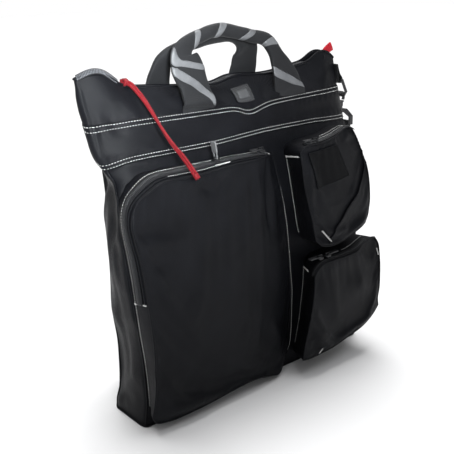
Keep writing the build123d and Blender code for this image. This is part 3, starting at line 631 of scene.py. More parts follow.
back_y = table([0, 30, 100, 200, 280, 330, 345, 371, 388, 400, 409], sk, [
    [34.5] * 11,
    [34.5, 36, 37, 38, 38.5, 38.5, 38.5, 38, 37, 36, 35.5],
    [36, 40, 42, 43.5, 44, 44, 44, 43.5, 42, 41, 40],
    [37, 42, 45, 48, 50, 50.5, 50, 48, 46, 44, 42],
    [36.5, 44, 48.5, 53, 55.5, 56, 55.5, 53, 49, 45, 42],
    [29, 42, 48, 54, 57, 58, 57, 54, 48, 42, 31],
    [28, 41, 47.5, 54, 57.5, 58.5, 57.5, 54, 48, 41, 29],
    [32, 42, 48, 53, 55.5, 56.5, 55.5, 53, 48, 42, 32],
    [36, 42, 46, 49.5, 51.5, 52, 51.5, 49.5, 46, 42, 35],
    [39.5, 42, 44, 46, 47.5, 48, 47.5, 46, 44, 42, 38.5],
    [41, 42, 43, 44, 44.5, 44.5, 44.5, 44, 43, 42, 40],
], zeta, s_front)

# how far the cloth is lifted or sags in height
xk = arr([-212, -203, -198, -188, -174, -162, -148, -103, -63, -30, -13, -4, 3, 14, 25, 40, 55, 68, 93, 117, 130, 146, 155, 163, 172, 190, 202, 208]) / 208.0
xk[0], xk[-1] = -1.03, 1.01
zip_dz = [14, 17, 20, 21.5, 19.5, 9, 2.0, -3, -7, -9, -9, -7, -5, -2, -2, -3, -4, -5, -4, 0, 1.5, 3.5, 6, 11, 17, 16, 9, 3]
upper_dz = [-3.3, -2, -1, 0, 0.8, 1.3, 1.4, 1.6, 1.5, 1.2, 1, -3, -6.7, -6.9, -4, -0.6, 1.3, 1.6, 2, 2.2, 2.2, 2.2, 2.1, 2, 2, 1.5, 1, 1]
lower_dz = [-9, -8, -4.5, -1.5, 0.5, 0.8, 1, 1.3, 1.6, 3.2, 4.3, 4.8, 5.3, 5.8, 6.3, 6.3, 6.3, 6.3, 6, 5.6, 5.2, 4.2, 3.6, 3, 2.4, 1, 0, 0]
mid_dz = [0.5 * a * (0.75 if a > 0 else 1.0) + 0.3 * b for a, b in zip(zip_dz, upper_dz)]
quarter_dz = [0.5 * d for d in lower_dz]
front_dz = table([0, 285, 312, 333, 371, 390, 409], xk, [[0] * len(xk), [0] * len(xk), quarter_dz, lower_dz, upper_dz, mid_dz, zip_dz], zeta, s_front)
zero = [0] * len(xk)
back_dz = table([0, 330, 371, 390, 409], xk, [zero, zero, [0.15 * d for d in zip_dz], [0.45 * d for d in zip_dz], zip_dz], zeta, s_front)


def side_curve(x0, y0, x1, y1, z0, z1, out, sign):
    """The gusset at each height, from one corner to the other."""
    t = np.linspace(0, 1, NG)
    x = x0[:, None] * (1 - t) + x1[:, None] * t
    y = y0[:, None] * (1 - t) + y1[:, None] * t
    z = z0[:, None] * (1 - t) + z1[:, None] * t
    return x + sign * out[:, None] * np.sin(np.pi * t)[None] ** 0.8, y, z


mid = (fl_x + fr_x) / 2
halfw = (fr_x - fl_x) / 2
bmid, bhalf = (bl_x + br_x) / 2, (br_x - bl_x) / 2
FX = mid[:, None] + halfw[:, None] * s_front
FYv = front_y + (fl_y - front_y[:, 0])[:, None] * np.clip((-s_front - 0.9) / 0.1, 0, 1) + (fr_y - front_y[:, -1])[:, None] * np.clip((s_front - 0.9) / 0.1, 0, 1)
FZ = zeta[:, None] + front_dz
BX = bmid[:, None] + bhalf[:, None] * s_front
BYv = back_y + (bl_y - back_y[:, 0])[:, None] * np.clip((-s_front - 0.9) / 0.1, 0, 1) + (br_y - back_y[:, -1])[:, None] * np.clip((s_front - 0.9) / 0.1, 0, 1)
BZ = zeta[:, None] + back_dz
gus_out = pchip([0, 20, 60, 200, 270, 300, 325, 345, 409], [0, 3, 5, 5, 2, -2, 1, 2.5, 1.5], zeta)
RX, RY, RZ = side_curve(FX[:, -1], FYv[:, -1], BX[:, -1], BYv[:, -1], FZ[:, -1], BZ[:, -1], gus_out, 1)
LX, LY, LZ = side_curve(BX[:, 0], BYv[:, 0], FX[:, 0], FYv[:, 0], BZ[:, 0], FZ[:, 0], gus_out, -1)

ring = np.concatenate([
    np.stack([FX, FYv, FZ], -1),
    np.stack([RX, RY, RZ], -1)[:, 1:-1],
    np.stack([BX, BYv, BZ], -1)[:, ::-1],
    np.stack([LX, LY, LZ], -1)[:, 1:-1],
], 1)
NR = ring.shape[1]
i_fr, i_br, i_bl = NF - 1, NF - 1 + NG - 1, NF - 1 + NG - 1 + NF - 1      # corner columns


def soften(R, sigma):
    """Rounds the ring's corners, more where sigma is larger."""
    out = R.copy()
    for _ in range(6):
        avg = (np.roll(out, 1, 1) + np.roll(out, -1, 1)) / 2
        out = out + (avg - out) * np.clip(sigma, 0, 1)[:, None, None]
    return out


ring = soften(ring, pchip([0, 20, 280, 330, 345, 409], [0.5, 0.55, 0.6, 0.9, 0.95, 0.9], zeta))


def stroke(P, N, a, b, width, depth, sharp=2.0):
    """A fold or dent along the line from a to b, moving the cloth along its normal."""
    a, b = arr(a), arr(b)
    d = b - a
    L2 = (d * d).sum()
    t = ((P - a) @ d) / L2
    tc = np.clip(t, 0, 1)
    near = a + tc[..., None] * d
    off = np.linalg.norm(P - near, axis=-1)
    taper = np.sin(np.pi * np.clip(tc, 0.02, 0.98)) ** 0.6
    return P + N * (depth * np.exp(-(off / width) ** sharp) * taper)[..., None]


RN = normals(ring, True)
col = np.arange(NR)
on_front_mask = ((col <= i_fr)).astype(float)
on_side = ((col > i_fr) & (col < i_br) | (col > i_bl)).astype(float)
row_z = zeta[:, None] + 0 * col[None]
low = np.clip((318 - row_z) / 20, 0, 1)
amp_big = (1.2 + 1.6 * on_side[None] + 1.4 * (1 - on_front_mask - on_side)[None]) * np.clip(row_z / 18, 0, 1) * np.clip((412 - row_z) / 16, 0.1, 1)
amp_big = amp_big * (1 - 0.75 * on_front_mask[None] * low) * (1 - 0.45 * np.exp(-((row_z - 351) / 22) ** 2))
wr = (noise_at(ring, 95, 1.0) * 1.0 + noise_at(ring, 46, 2.0, (1, 1, 0.6)) * 0.55) * amp_big
fold = noise_at(ring, 26, 3.0, (1.0, 1.0, 0.32)) * 0.55 * amp_big * (0.4 + 1.5 * on_side[None])
crease = crumple(ring, 62, 4.0, (1, 1, 0.7)) * (0.7 + 2.3 * on_side[None]) * np.clip(row_z / 20, 0, 1) * np.clip((404 - row_z) / 20, 0, 1)
crease = crease * (1 - 0.6 * np.exp(-((row_z - 351) / 24) ** 2))
ring = ring + RN * (wr + fold + crease)[..., None]

# folds and dents that the cloth shows
RN = normals(ring, True)
for a, b, w, d in [
    ((-201, 0, 300), (-197, -8, 200), 9, -3.2), ((-198, 18, 290), (-192, 12, 150), 7, 2.6),
    ((-196, 8, 180), (-192, -2, 60), 8, -2.4), ((-190, 26, 130), (-190, 22, 30), 8, -2.0),
    ((-206, 12, 400), (-190, 12, 350), 9, 2.2), ((-196, 14, 398), (-172, 10, 352), 9, -2.6),
    ((-168, 22, 402), (-150, 6, 372), 8, 1.8), ((-120, 18, 398), (-96, 4, 376), 9, -1.8),
    ((-40, 18, 396), (-20, 0, 374), 9, -2.6), ((22, 24, 400), (10, -2, 370), 9, 2.2), ((50, 14, 396), (36, -4, 372), 8, -2.0),
    ((130, 22, 404), (150, 10, 376), 10, -2.2), ((182, 26, 412), (164, 14, 380), 9, 2.4),
    ((-200, 2, 345), (-150, -8, 336), 8, -1.4), ((-60, -9, 352), (40, -10, 350), 12, 1.2), ((96, -6, 352), (170, 0, 350), 9, -1.4),
    ((-185, -14, 322), (-130, -20, 312), 8, -2.4), ((-205, -10, 312), (-190, -16, 292), 8, 2.0),
    ((-120, 52, 330), (-60, 50, 180), 16, -3.0), ((40, 56, 330), (90, 48, 160), 15, 3.0), ((120, 50, 290), (150, 42, 120), 14, -3.0),
    ((-150, 44, 200), (-120, 38, 40), 13, 2.6), ((-20, 50, 170), (20, 40, 40), 16, -2.4), ((170, 44, 240), (176, 38, 60), 9, 2.0),
    ((200, 10, 290), (196, 4, 150), 8, -2.8), ((196, 22, 200), (192, 20, 50), 8, 2.2),
]:
    ring = stroke(ring, RN, a, b, w, d)

# the seams pull the cloth in, and it puckers beside them
seam_rows = [(335.5, -0.5), (331.6, -0.5), (372.5, -0.5), (367.8, -0.5)]
RN = normals(ring, True)
arc = along(ring[60])
pucker = np.zeros(ring.shape[:2])
for z0, d in seam_rows:
    g = np.exp(-((row_z - z0) / 1.7) ** 2)
    pucker += g * d
    side_g = np.exp(-((np.abs(row_z - z0) - 4.5) / 4.0) ** 2)
    wave = np.sin(arc[None] * 2 * np.pi / 11.0 + 2.2 * np.sin(arc[None] / 23.0) + z0) * (0.5 + 0.5 * np.sin(arc[None] / 31.0 + z0))
    pucker += 0.32 * side_g * wave
ring = ring + RN * pucker[..., None]
ring[0, :, 2] = 0.0
ring[:, :, 2] = np.maximum(ring[:, :, 2], 0.0)

body_surf = Surf(ring, zeta, np.arange(NR), True)
front_grid = Surf(ring[:, :NF], zeta, s_front)


def row_of(z):
    return int(np.argmin(np.abs(zeta - z)))


def on_bag(x, z, lift=0.0):
    """A point of the bag's front at width x and nominal height z."""
    x, z = np.broadcast_arrays(arr(x), arr(z))
    m, h = np.interp(z, zeta, mid), np.interp(z, zeta, halfw)
    return front_grid.at(z, np.clip((x - m) / h, -1, 1), lift)


def slice_rows(z0, z1):
    return np.where((zeta >= z0 - 1e-6) & (zeta <= z1 + 1e-6))[0]


lower_rows = slice_rows(0, 334)
P_low = ring[lower_rows]
front_panel = sheet_piece("front_panel_cloth", P_low[:, :i_fr + 1], 1.8, NYLON)
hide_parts("front_panel")
right_gus = sheet_piece("right_gusset_cloth", P_low[:, i_fr:i_br + 1], 1.8, NYLON)
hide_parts("right_gusset")
back_panel = sheet_piece("back_panel_cloth", P_low[:, i_br:i_bl + 1], 1.8, NYLON)
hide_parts("back_panel")
left_gus = sheet_piece("left_gusset_cloth", np.concatenate([P_low[:, i_bl:], P_low[:, :1]], 1), 1.8, NYLON)
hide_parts("left_gusset")

# the band and the yokes are bands of cloth laid over the seams: an edge turned under at each side
all_n = normals(ring, True)


def band_piece(name, z0, z1, lift, th, cols, replace):
    rows = slice_rows(z0, z1)
    P = ring[rows] + all_n[rows] * lift
    edge = np.minimum(np.arange(len(rows)), np.arange(len(rows))[::-1])
    P = P - all_n[rows] * (np.where(edge == 0, 0.55 * lift, 0.0))[:, None, None]
    P = P[:, cols]
    o = sheet_piece(name, P, th, NYLON)
    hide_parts(replace)
    return o


front_cols = np.concatenate([np.arange(i_bl + (NG - 1) // 2, NR), np.arange(0, i_fr + (NG - 1) // 2 + 1)])
back_cols = np.arange(i_fr + (NG - 1) // 2, i_bl + (NG - 1) // 2 + 1)
band_piece("front_band_cloth", 328.5, 375.5, 1.5, 1.4, front_cols, "front_band")
band_piece("back_band_cloth", 328.5, 375.5, 1.5, 1.4, back_cols, "back_band")
band_piece("front_yoke_cloth", 372.0, 409, 0.1, 1.6, front_cols, "front_yoke")
band_piece("back_yoke_cloth", 372.0, 409, 0.1, 1.6, back_cols, "back_yoke")

# the floor of the bag: a flat sheet, slightly raised along the middle
rowb = ring[0]
nb = 25
bot = []
f = rowb[:i_fr + 1]
b = rowb[i_br:i_bl + 1][::-1]
t = np.linspace(0, 1, nb)[:, None, None]
P = (b[None] * (1 - t) + f[None] * t)
P[..., 2] = 0.25 + 0.35 * np.sin(np.linspace(0, np.pi, nb))[:, None]
bottom = sheet_piece("base_cloth", P, 2.2, NYLON)
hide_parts("base_panel")

# piping down the box corners and round the floor
for name, colx, z1 in (("front_left", 0, 322), ("front_right", i_fr, 322), ("back_right", i_br, 322), ("back_left", i_bl, 322)):
    rows = slice_rows(0, z1)
    P = ring[rows, colx] + all_n[rows, colx] * 0.3
    P[0, 2] = max(P[0, 2], 1.3)
    tube("corner_seam_" + name, P, all_n[rows, colx], 1.25, NYLON, sides=8)
P = ring[0] + all_n[0] * 0.2
P[:, 2] = 1.5
tube("base_seam", P, (0, 0, 1), 1.3, NYLON, sides=8, closed=True)

# double rows of pale thread round the band
ring_closed = np.concatenate([ring, ring[:, :1]], 1)
RS = Surf(ring_closed, zeta, np.arange(NR + 1))


def ring_path(z, u0=0, u1=None, lift=0.0, n=900):
    u = np.linspace(u0, NR if u1 is None else u1, n)
    return RS.at(np.full(n, float(z)) if np.isscalar(z) else z, u, lift)


for z0 in (372.5, 367.8, 335.5, 331.6):
    stitch("band_stitching", ring_path(z0, lift=1.5))

# ------------------------------------------------------------------ the pockets
AL = math.atan2(12.5, 327.0)
UPV = arr((0, math.sin(AL), math.cos(AL)))
OUTV = arr((0, -math.cos(AL), math.sin(AL)))


def flat(x, s, h):
    """The CAD's own place for width x, height s up the front and h out from it."""
    x, s, h = (arr(q)[..., None] for q in np.broadcast_arrays(arr(x), arr(s), arr(h)))
    return arr((0, -34.5, 0)) + x * arr((1, 0, 0)) + s * UPV + h * OUTV


def sewn(x, s):
    """The same place on the bag's own cloth, as a height off the front."""
    z = s * math.cos(AL)
    p, _ = on_bag(x, z)
    return (p - arr((0, -34.5, 0))) @ OUTV


def coons(bottom, right, topc, left, nu, nv):
    """A patch between four curves: bottom and top run left to right, left and right run up."""
    B, T = smooth_path(bottom, nu), smooth_path(topc, nu)
    L, R = smooth_path(left, nv), smooth_path(right, nv)
    u, v = np.linspace(0, 1, nu)[None, :, None], np.linspace(0, 1, nv)[:, None, None]
    return ((1 - v) * B[None] + v * T[None] + (1 - u) * L[:, None] + u * R[:, None]
            - ((1 - u) * (1 - v) * B[0] + u * (1 - v) * B[-1] + (1 - u) * v * T[0] + u * v * T[-1]))


def to_world(Q):
    return flat(Q[..., 0], Q[..., 1], Q[..., 2])


def rim_of(G):
    """The boundary of a grid, anticlockwise from its low left corner."""
    return np.concatenate([G[0, :-1], G[:-1, -1], G[-1, :0:-1], G[:0:-1, 0]])


def cloth_relax(P, pinned, frames=18, pressure=1.2, grow=0.02, cap=7.0, bend=1.2, gravity=0.25, out=None):
    """Lets a sheet fill and wrinkle as cloth, held where pinned; no point moves more than cap from where it began."""
    nv, nu = P.shape[:2]
    faces = [(i * nu + j, i * nu + j + 1, (i + 1) * nu + j + 1, (i + 1) * nu + j) for i in range(nv - 1) for j in range(nu - 1)]
    mesh = bpy.data.meshes.new("relax")
    mesh.from_pydata([tuple(v) for v in P.reshape(-1, 3) * MM], [], faces)
    o = link(bpy.data.objects.new("relax", mesh))
    g = o.vertex_groups.new(name="pin")
    for i, w in enumerate(pinned.reshape(-1)):
        if w > 0:
            g.add([i], float(w), "REPLACE")
    mod = o.modifiers.new("Cloth", "CLOTH")
    st = mod.settings
    st.quality = 6
    st.mass = 0.25
    st.tension_stiffness = st.compression_stiffness = 25
    st.shear_stiffness = 12
    st.bending_stiffness = bend
    st.air_damping = 3
    st.vertex_group_mass = "pin"
    st.use_pressure = True
    st.uniform_pressure_force = pressure
    st.shrink_min = -grow
    st.effector_weights.gravity = gravity
    mod.collision_settings.use_collision = False
    mod.collision_settings.use_self_collision = False
    mod.point_cache.frame_start, mod.point_cache.frame_end = 1, frames + 2
    for fr in range(1, frames + 1):
        scene.frame_set(fr)
    dg = bpy.context.evaluated_depsgraph_get()
    ev = o.evaluated_get(dg)
    co = np.array([v.co for v in ev.data.vertices], float).reshape(nv, nu, 3) * 1000
    scene.frame_set(1)
    bpy.data.objects.remove(o)
    bpy.data.meshes.remove(mesh)
    d = co - P
    L = np.linalg.norm(d, axis=-1, keepdims=True)
    d = d * np.minimum(1, cap * np.tanh(L / cap) / np.maximum(L, 1e-9))
    return P + d


def pocket(key, face_sides, base_sides, nu, nv, bulge, wrinkle, side_bulge, strokes, cap, pressure, grow):
    """A puffed pocket: a face patch and a gusset strip down to the bag."""
    bottom, right, topc, left = face_sides
    Q = coons(bottom, right, topc, left, nu, nv)
    u, v = np.linspace(-1, 1, nu)[None, :], np.linspace(-1, 1, nv)[:, None]
    dome = (1 - np.abs(u) ** 3.2) * (1 - np.abs(v) ** 3.2)
    P = to_world(Q) + OUTV * (bulge * dome)[..., None]
    # the seam holds the rim while the cloth fills
    rim = np.ones((nv, nu), bool)
    rim[1:-1, 1:-1] = False
    P = cloth_relax(P, rim.astype(float), pressure=pressure, grow=grow, cap=cap)
    N = normals(P)
    w = (noise_at(P, 70, 5.0 + len(key)) * 1.2 + noise_at(P, 30, 6.0, (1, 1, 0.7)) * 0.55 + noise_at(P, 14, 7.0) * 0.16) * wrinkle
    edge = np.clip(np.minimum(1 - np.abs(u), 1 - np.abs(v)) * 6, 0, 1)
    rimward = 0.35 + 0.9 * np.maximum(np.abs(u), np.abs(v)) ** 2
    w = w + 1.15 * crumple(P, 66, 12.0 + len(key), (0.8, 0.8, 1.0)) * rimward
    P = P + N * (w * edge)[..., None]
    N = normals(P)
    for a, b, width, depth in strokes:
        a3, b3 = flat(*a), flat(*b)
        P = stroke(P, N, a3, b3, width, depth * 1.35)
    per = rim_of(P)
    # gusset
    rimQ = rim_of(P)
    nb_, nr_, nt_, nl_ = nu - 1, nv - 1, nu - 1, nv - 1
    bB, bR, bT, bL = base_sides

    def base_pts(pts, n):
        return smooth_path(pts, n + 1)[:-1]

    Bl = np.concatenate([base_pts(bB, nb_), base_pts(bR, nr_), base_pts(bT[::-1], nt_), base_pts(bL[::-1], nl_)])
    base3 = flat(Bl[:, 0], Bl[:, 1], sewn(Bl[:, 0], Bl[:, 1]) - 0.8)
    m = 13
    t = np.linspace(0, 1, m)[:, None, None]
    G = base3[None] * (1 - t) + rimQ[None] * t
    # bow out between the two edges
    cen = G.reshape(-1, 3).mean(0)
    flatdir = unit((rimQ + base3) / 2 - cen - (((rimQ + base3) / 2 - cen) @ OUTV)[:, None] * OUTV)
    depth_here = np.linalg.norm(rimQ - base3, axis=1)
    G = G + flatdir[None] * (side_bulge * np.clip(depth_here / 30.0, 0, 1.2))[None, :, None] * np.sin(np.pi * t) ** 0.8
    gn = normals(G[::-1], True)[::-1]
    gw = (noise_at(G, 24, 9.0, (0.5, 0.5, 0.5)) * 0.9 + noise_at(G, 12, 10.0) * 0.3) * np.sin(np.pi * t[..., 0]) * wrinkle
    G = G + gn * gw[..., None]
    return P, G, base3


def seam_tube(name, rim, up, r=1.15, body="root"):
    return tube(name, rim, up, r, NYLON, body, sides=8, closed=True)


def finish_pocket(key, P, G, base3):
    face = sheet_piece(key + "_pocket_face_cloth", P, 1.5, NYLON)
    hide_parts(key + "_pocket_face")
    gus = sheet_piece(key + "_pocket_gusset_cloth", G, 1.4, NYLON, closed=True)
    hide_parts(key + "_pocket_gusset")
    rim = rim_of(P)
    seam_tube(key + "_pocket_seam", rim + OUTV * 0.1, OUTV)
    return face, gus


# big bellows pocket
big_face_sides = (
    [(-196, 24, 22), (-190, 15, 21), (-171, 11.5, 23), (-124, 12.5, 25), (-79, 16, 26), (-47, 18, 26), (-24, 16, 25), (-2, 10, 23), (14, 6, 20), (27, 11, 14), (37, 26, 8)],
    [(37, 26, 8), (46, 42, 4), (52, 67, 3), (56, 107, 3), (54.5, 160, 3), (50, 209, 3), (44, 250, 3), (37, 280, 3), (31.5, 300, 3), (27, 309, 4)],
    [(-180, 302, 26), (-160, 310, 26), (-130, 310, 26), (-100, 309.5, 26), (-69, 311.5, 26), (-20, 312.5, 25), (4, 313, 20), (15, 312, 13), (27, 309, 4)],
    [(-196, 24, 22), (-193, 45, 25), (-189.5, 70, 26), (-188.5, 113, 26), (-189.5, 139, 26), (-191.5, 170, 26), (-194.5, 203, 26), (-198.5, 231, 26), (-203.5, 253, 26.5),
     (-206, 269, 26.5), (-203, 284, 26.5), (-194, 295, 26), (-180, 302, 26)],
)
big_base_sides = (
    [(-184, 22), (-165, 15), (-120, 14), (-60, 16), (-20, 16), (10, 13), (27, 16), (38, 26)],
    [(38, 26), (47, 42), (53, 67), (57, 107), (55.5, 160), (51, 209), (45, 250), (38, 280), (32.5, 300), (28, 310)],
    [(-187, 307), (-173, 316), (-159, 318.5), (-138, 319.5), (-100, 318.5), (-60, 318), (-20, 317.5), (10, 315.5), (28, 310)],
    [(-184, 22), (-185, 49), (-186.5, 75), (-188, 98), (-191, 125), (-194, 165), (-197, 198), (-199.5, 229), (-201.5, 255), (-201, 278), (-196, 295), (-187, 307)],
)
big_strokes = [
    ((-110, 300, 30), (-86, 284, 30), 6, -3.2), ((-84, 284, 30), (-60, 304, 30), 6, -2.6), ((-150, 306, 28), (-100, 300, 29), 6, 1.8),
    ((-196, 262, 30), (-150, 250, 32), 8, -3.4), ((-192, 244, 30), (-140, 236, 33), 9, 2.8), ((-190, 224, 30), (-152, 206, 33), 9, -2.4),
    ((2, 300, 22), (10, 210, 16), 6, -3.0), ((16, 296, 14), (24, 220, 10), 6, 2.4), ((-16, 300, 27), (-6, 236, 26), 8, 2.0),
    ((-186, 100, 30), (-176, 60, 30), 9, -3.0), ((-170, 60, 31), (-120, 30, 30), 12, -2.0), ((-178, 30, 26), (-110, 22, 28), 7, 2.4),
    ((-50, 60, 34), (10, 26, 22), 12, -3.2), ((6, 90, 24), (28, 40, 12), 9, 3.2), ((-20, 36, 27), (24, 16, 16), 7, -2.6),
    ((-60, 180, 36), (20, 120, 20), 26, -2.2), ((-140, 160, 35), (-60, 90, 36), 30, 2.4),
]
P, G, base3 = pocket("big", big_face_sides, big_base_sides, 84, 96, 5.0, 0.8, 2.0, big_strokes, 7.0, 0.9, 0.012)
big_P, big_G = P, G
finish_pocket("big", P, G, base3)
big_face = Surf(P, np.linspace(0, 1, P.shape[0]), np.linspace(0, 1, P.shape[1]))

# upper and lower box pockets
up_face_sides = (
    [(68, 190, 43), (79, 181, 44), (95, 178.5, 46), (110, 180, 47), (124, 183, 47), (154, 191.5, 46), (164, 195, 44)],
    [(164, 195, 44), (170.5, 207, 44), (172, 232, 45), (170.5, 256, 45), (165.5, 281, 44), (158.5, 300.5, 43), (151, 317, 40), (145, 329, 37)],
    [(42, 314, 42), (49, 320, 43), (62, 321, 44), (83, 321.5, 45), (104, 325.5, 44), (120, 330.5, 41), (134, 333.5, 38), (145, 329, 37)],
    [(68, 190, 43), (62.5, 212, 44), (52.5, 241, 45), (45, 272, 45), (42.5, 300, 44), (42, 314, 42)],
)
up_base_sides = (
    [(80, 184), (100, 185), (125, 188), (158, 198)],
    [(158, 198), (165, 215), (167, 240), (167, 285), (161, 318)],
    [(55.5, 307), (60, 315), (75, 319.5), (97, 321.5), (120, 323), (142, 328), (155, 327), (161, 318)],
    [(80, 184), (73.7, 197), (68.3, 230), (63, 262), (57.8, 293), (55.5, 307)],
)
up_strokes = [
    ((52, 310, 46), (60, 220, 48), 6, 2.4), ((150, 320, 46), (166, 280, 48), 9, -2.6), ((120, 322, 46), (150, 296, 49), 8, 2.0),
    ((60, 216, 48), (84, 188, 47), 7, -2.6), ((128, 250, 52), (166, 226, 48), 10, 2.2), ((120, 196, 50), (168, 214, 46), 8, -2.0),
]
P, G, base3 = pocket("upper", up_face_sides, up_base_sides, 44, 52, 3.4, 0.85, 1.0, up_strokes, 6.0, 1.2, 0.015)
finish_pocket("upper", P, G, base3)
up_P, up_G = P, G
up_face = Surf(P, np.linspace(0, 1, P.shape[0]), np.linspace(0, 1, P.shape[1]))

lo_face_sides = (
    [(37, 27, 45), (48, 26, 46), (69, 27, 47), (98, 30.7, 49), (122, 35.9, 50), (155, 42.4, 49), (180, 53.2, 47), (193, 62, 45)],
    [(193, 62, 45), (190.5, 74, 46), (193, 91, 46.5), (194, 119, 47), (193.5, 143, 46), (191.5, 158, 45), (185, 168.5, 44)],
    [(62, 141, 45), (68, 150, 46), (78, 155.5, 47), (95, 156.5, 48), (122, 156, 48), (145, 157.5, 47.5), (164, 165, 46), (177, 170, 45), (185, 168.5, 44)],
    [(37, 27, 45), (42, 59.4, 47), (49.5, 89.3, 48), (56.5, 111, 47.5), (60.5, 128, 46), (62, 141, 45)],
)
lo_base_sides = (
    [(60, 20.5), (100, 22), (140, 30), (176, 48)],
    [(176, 48), (183, 62), (186, 100), (187, 140), (182, 160)],
    [(84, 142), (90, 154), (114, 158.5), (141, 160.5), (160, 168), (174, 169), (182, 160)],
    [(60, 20.5), (65, 37), (70, 55), (77, 88), (82, 119), (84, 142)],
)
lo_strokes = [
    ((46, 150, 50), (44, 60, 50), 7, 2.6), ((150, 170, 49), (184, 140, 48), 9, -2.6), ((60, 164, 50), (110, 168, 51), 5, -1.8),
    ((60, 40, 50), (150, 52, 52), 8, -2.4), ((120, 120, 56), (184, 92, 49), 14, 2.4), ((50, 60, 50), (90, 34, 49), 8, 2.2),
    ((90, 150, 54), (150, 110, 56), 16, -1.8),
]
P, G, base3 = pocket("lower", lo_face_sides, lo_base_sides, 50, 50, 3.8, 0.9, 1.0, lo_strokes, 6.0, 1.3, 0.015)
finish_pocket("lower", P, G, base3)
lo_P, lo_G = P, G
lo_face = Surf(P, np.linspace(0, 1, P.shape[0]), np.linspace(0, 1, P.shape[1]))

# ------------------------------------------------------------------ seams, zips and patches on the pockets
ORIGIN = arr((0, -34.5, 0))


def height_of(P):
    return (P - ORIGIN) @ OUTV


def flat_of(P):
    d = P - ORIGIN
    return d[..., 0], d @ UPV


def seam_on_bag(pts, lift=0.4, n=260):
    q = smooth_path(pts, n)
    return on_bag(q[:, 0], q[:, 1] * math.cos(AL), lift)


class Side:
    """A pocket's gusset, looked up by column and by height off the bag."""

    def __init__(self, G, nu, nv):
        self.G = np.concatenate([G, G[:, :1]], 1)
        self.S = Surf(self.G, np.linspace(0, 1, G.shape[0]), np.arange(G.shape[1] + 1))
        self.c = (0, nu - 1, nu + nv - 2, 2 * nu + nv - 3, 2 * nu + 2 * nv - 4)

    def column(self, part, test):
        """The first column of that side (0 bottom, 1 right, 2 top, 3 left) whose (x, s) passes."""
        for u in np.arange(self.c[part], self.c[part + 1] + 0.01, 0.25):
            p, _ = self.S.at(0.5, u)
            x, s = flat_of(p)
            if test(float(x), float(s)):
                return u
        return float(self.c[part + 1])

    def line(self, u0, u1, h=None, t=None, lift=0.3, n=260):
        u = np.linspace(u0, u1, n)
        if t is None:
            ts = np.linspace(0, 1, 25)
            t = np.empty(n)
            for i, uu in enumerate(u):
                p, _ = self.S.at(ts, np.full(25, uu))
                t[i] = np.interp(h, height_of(p), ts)
        return self.S.at(t * np.ones(n), u, lift)


def resample(path, pitch):
    P, U = path
    s = along(P)
    n = max(int(s[-1] / pitch), 4)
    at = np.linspace(0, s[-1], n)
    return (np.stack([np.interp(at, s, P[:, j]) for j in range(3)], 1),
            unit(np.stack([np.interp(at, s, U[:, j]) for j in range(3)], 1)))


def zip_line(key, path, half=6.5, coil=4.4, body="root", pitch=1.7, tooth=0.62, proud=0.9, coil_material=None):
    """Zip tape with its coil, along (points, normals)."""
    C, N = resample(path, 2.5)
    T = unit(np.gradient(C, axis=0))
    W = unit(np.cross(N, T))
    tape = ribbon(key + "_tape", C, W, N, half, 0.9, TAPE, body, crown=0.35, nu=9)
    C2, N2 = resample(path, pitch)
    T2 = unit(np.gradient(C2, axis=0))
    W2 = unit(np.cross(N2, T2))
    teeth = capsules(key + "_teeth", C2 + N2 * proud, unit(W2 + T2 * 0.10), N2, coil, tooth, coil_material or CHAIN, body, arch=0.35, flat=0.85)
    return tape, teeth


big = Side(big_G, 84, 96)
up = Side(up_G, 44, 52)
lo = Side(lo_G, 50, 50)

# the big pocket: zip over the top and down the left, thread each side of it
u_a = big.column(2, lambda x, s: x < 10)
u_b = big.column(3, lambda x, s: s < 170)
tape, teeth = zip_line("big_pocket_zip", big.line(u_a, u_b, h=12, lift=1.1, n=500), 6.5, 4.6, proud=1.1)
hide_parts("big_pocket_zip")
stitch("big_pocket_stitching", big.line(u_a, u_b, h=4.6, lift=0.9, n=600), pitch=3.3)
u_c = big.column(2, lambda x, s: x < -78)
u_e = big.column(2, lambda x, s: x < -152)
stitch("big_pocket_stitching", big.line(u_c, u_e, h=19.5, lift=0.9, n=300), pitch=3.3)
stitch("big_pocket_stitching", big.line(u_e, u_b, h=6.9, lift=1.0, n=400), pitch=3.3, radius=0.34)
for key, h in (("inner", 16.8), ("outer", 21.4)):
    P, N = big.line(u_a, u_b, h=h, lift=0.7, n=400)
    tube("big_pocket_cord_" + key, P, N, 1.15, NYLON, sides=8)
left_foot = [(x - 1.2, s) for x, s in [(-184, 24), (-185, 49), (-186.5, 75), (-188, 98), (-191, 125), (-194, 165)]]
u_d = big.column(3, lambda x, s: s < 28)
stitch("big_pocket_stitching", big.line(u_b, u_d, h=4.0, lift=0.5, n=400), pitch=3.5)
right_seam = [(31.5, 303), (34, 296), (37.5, 280), (44.5, 250), (50.5, 209), (54.5, 160), (57, 107), (54, 67), (50, 36), (45, 24)]
stitch("big_pocket_stitching", seam_on_bag([(x + 0.6, s) for x, s in right_seam], 1.6), pitch=3.5)
right_hem = [(27, 309), (33, 299), (38, 280), (45, 250), (51, 209), (55.5, 160), (58, 107), (55, 67), (50, 34), (44, 20)]
hp, hn = seam_on_bag([(x + 2.2, s) for x, s in right_hem], 0.4)
tube("big_pocket_hem", hp, hn, 1.5, NYLON, sides=8, flat=0.7)


def tack_on(side_obj, u, h0, h1, group="bartacks", lift=1.4):
    p, n = side_obj.line(u, u + 0.01, h=h0, lift=lift, n=2)
    q, m = side_obj.line(u, u + 0.01, h=h1, lift=lift, n=2)
    bartack(group, p[0], q[0], n[0])


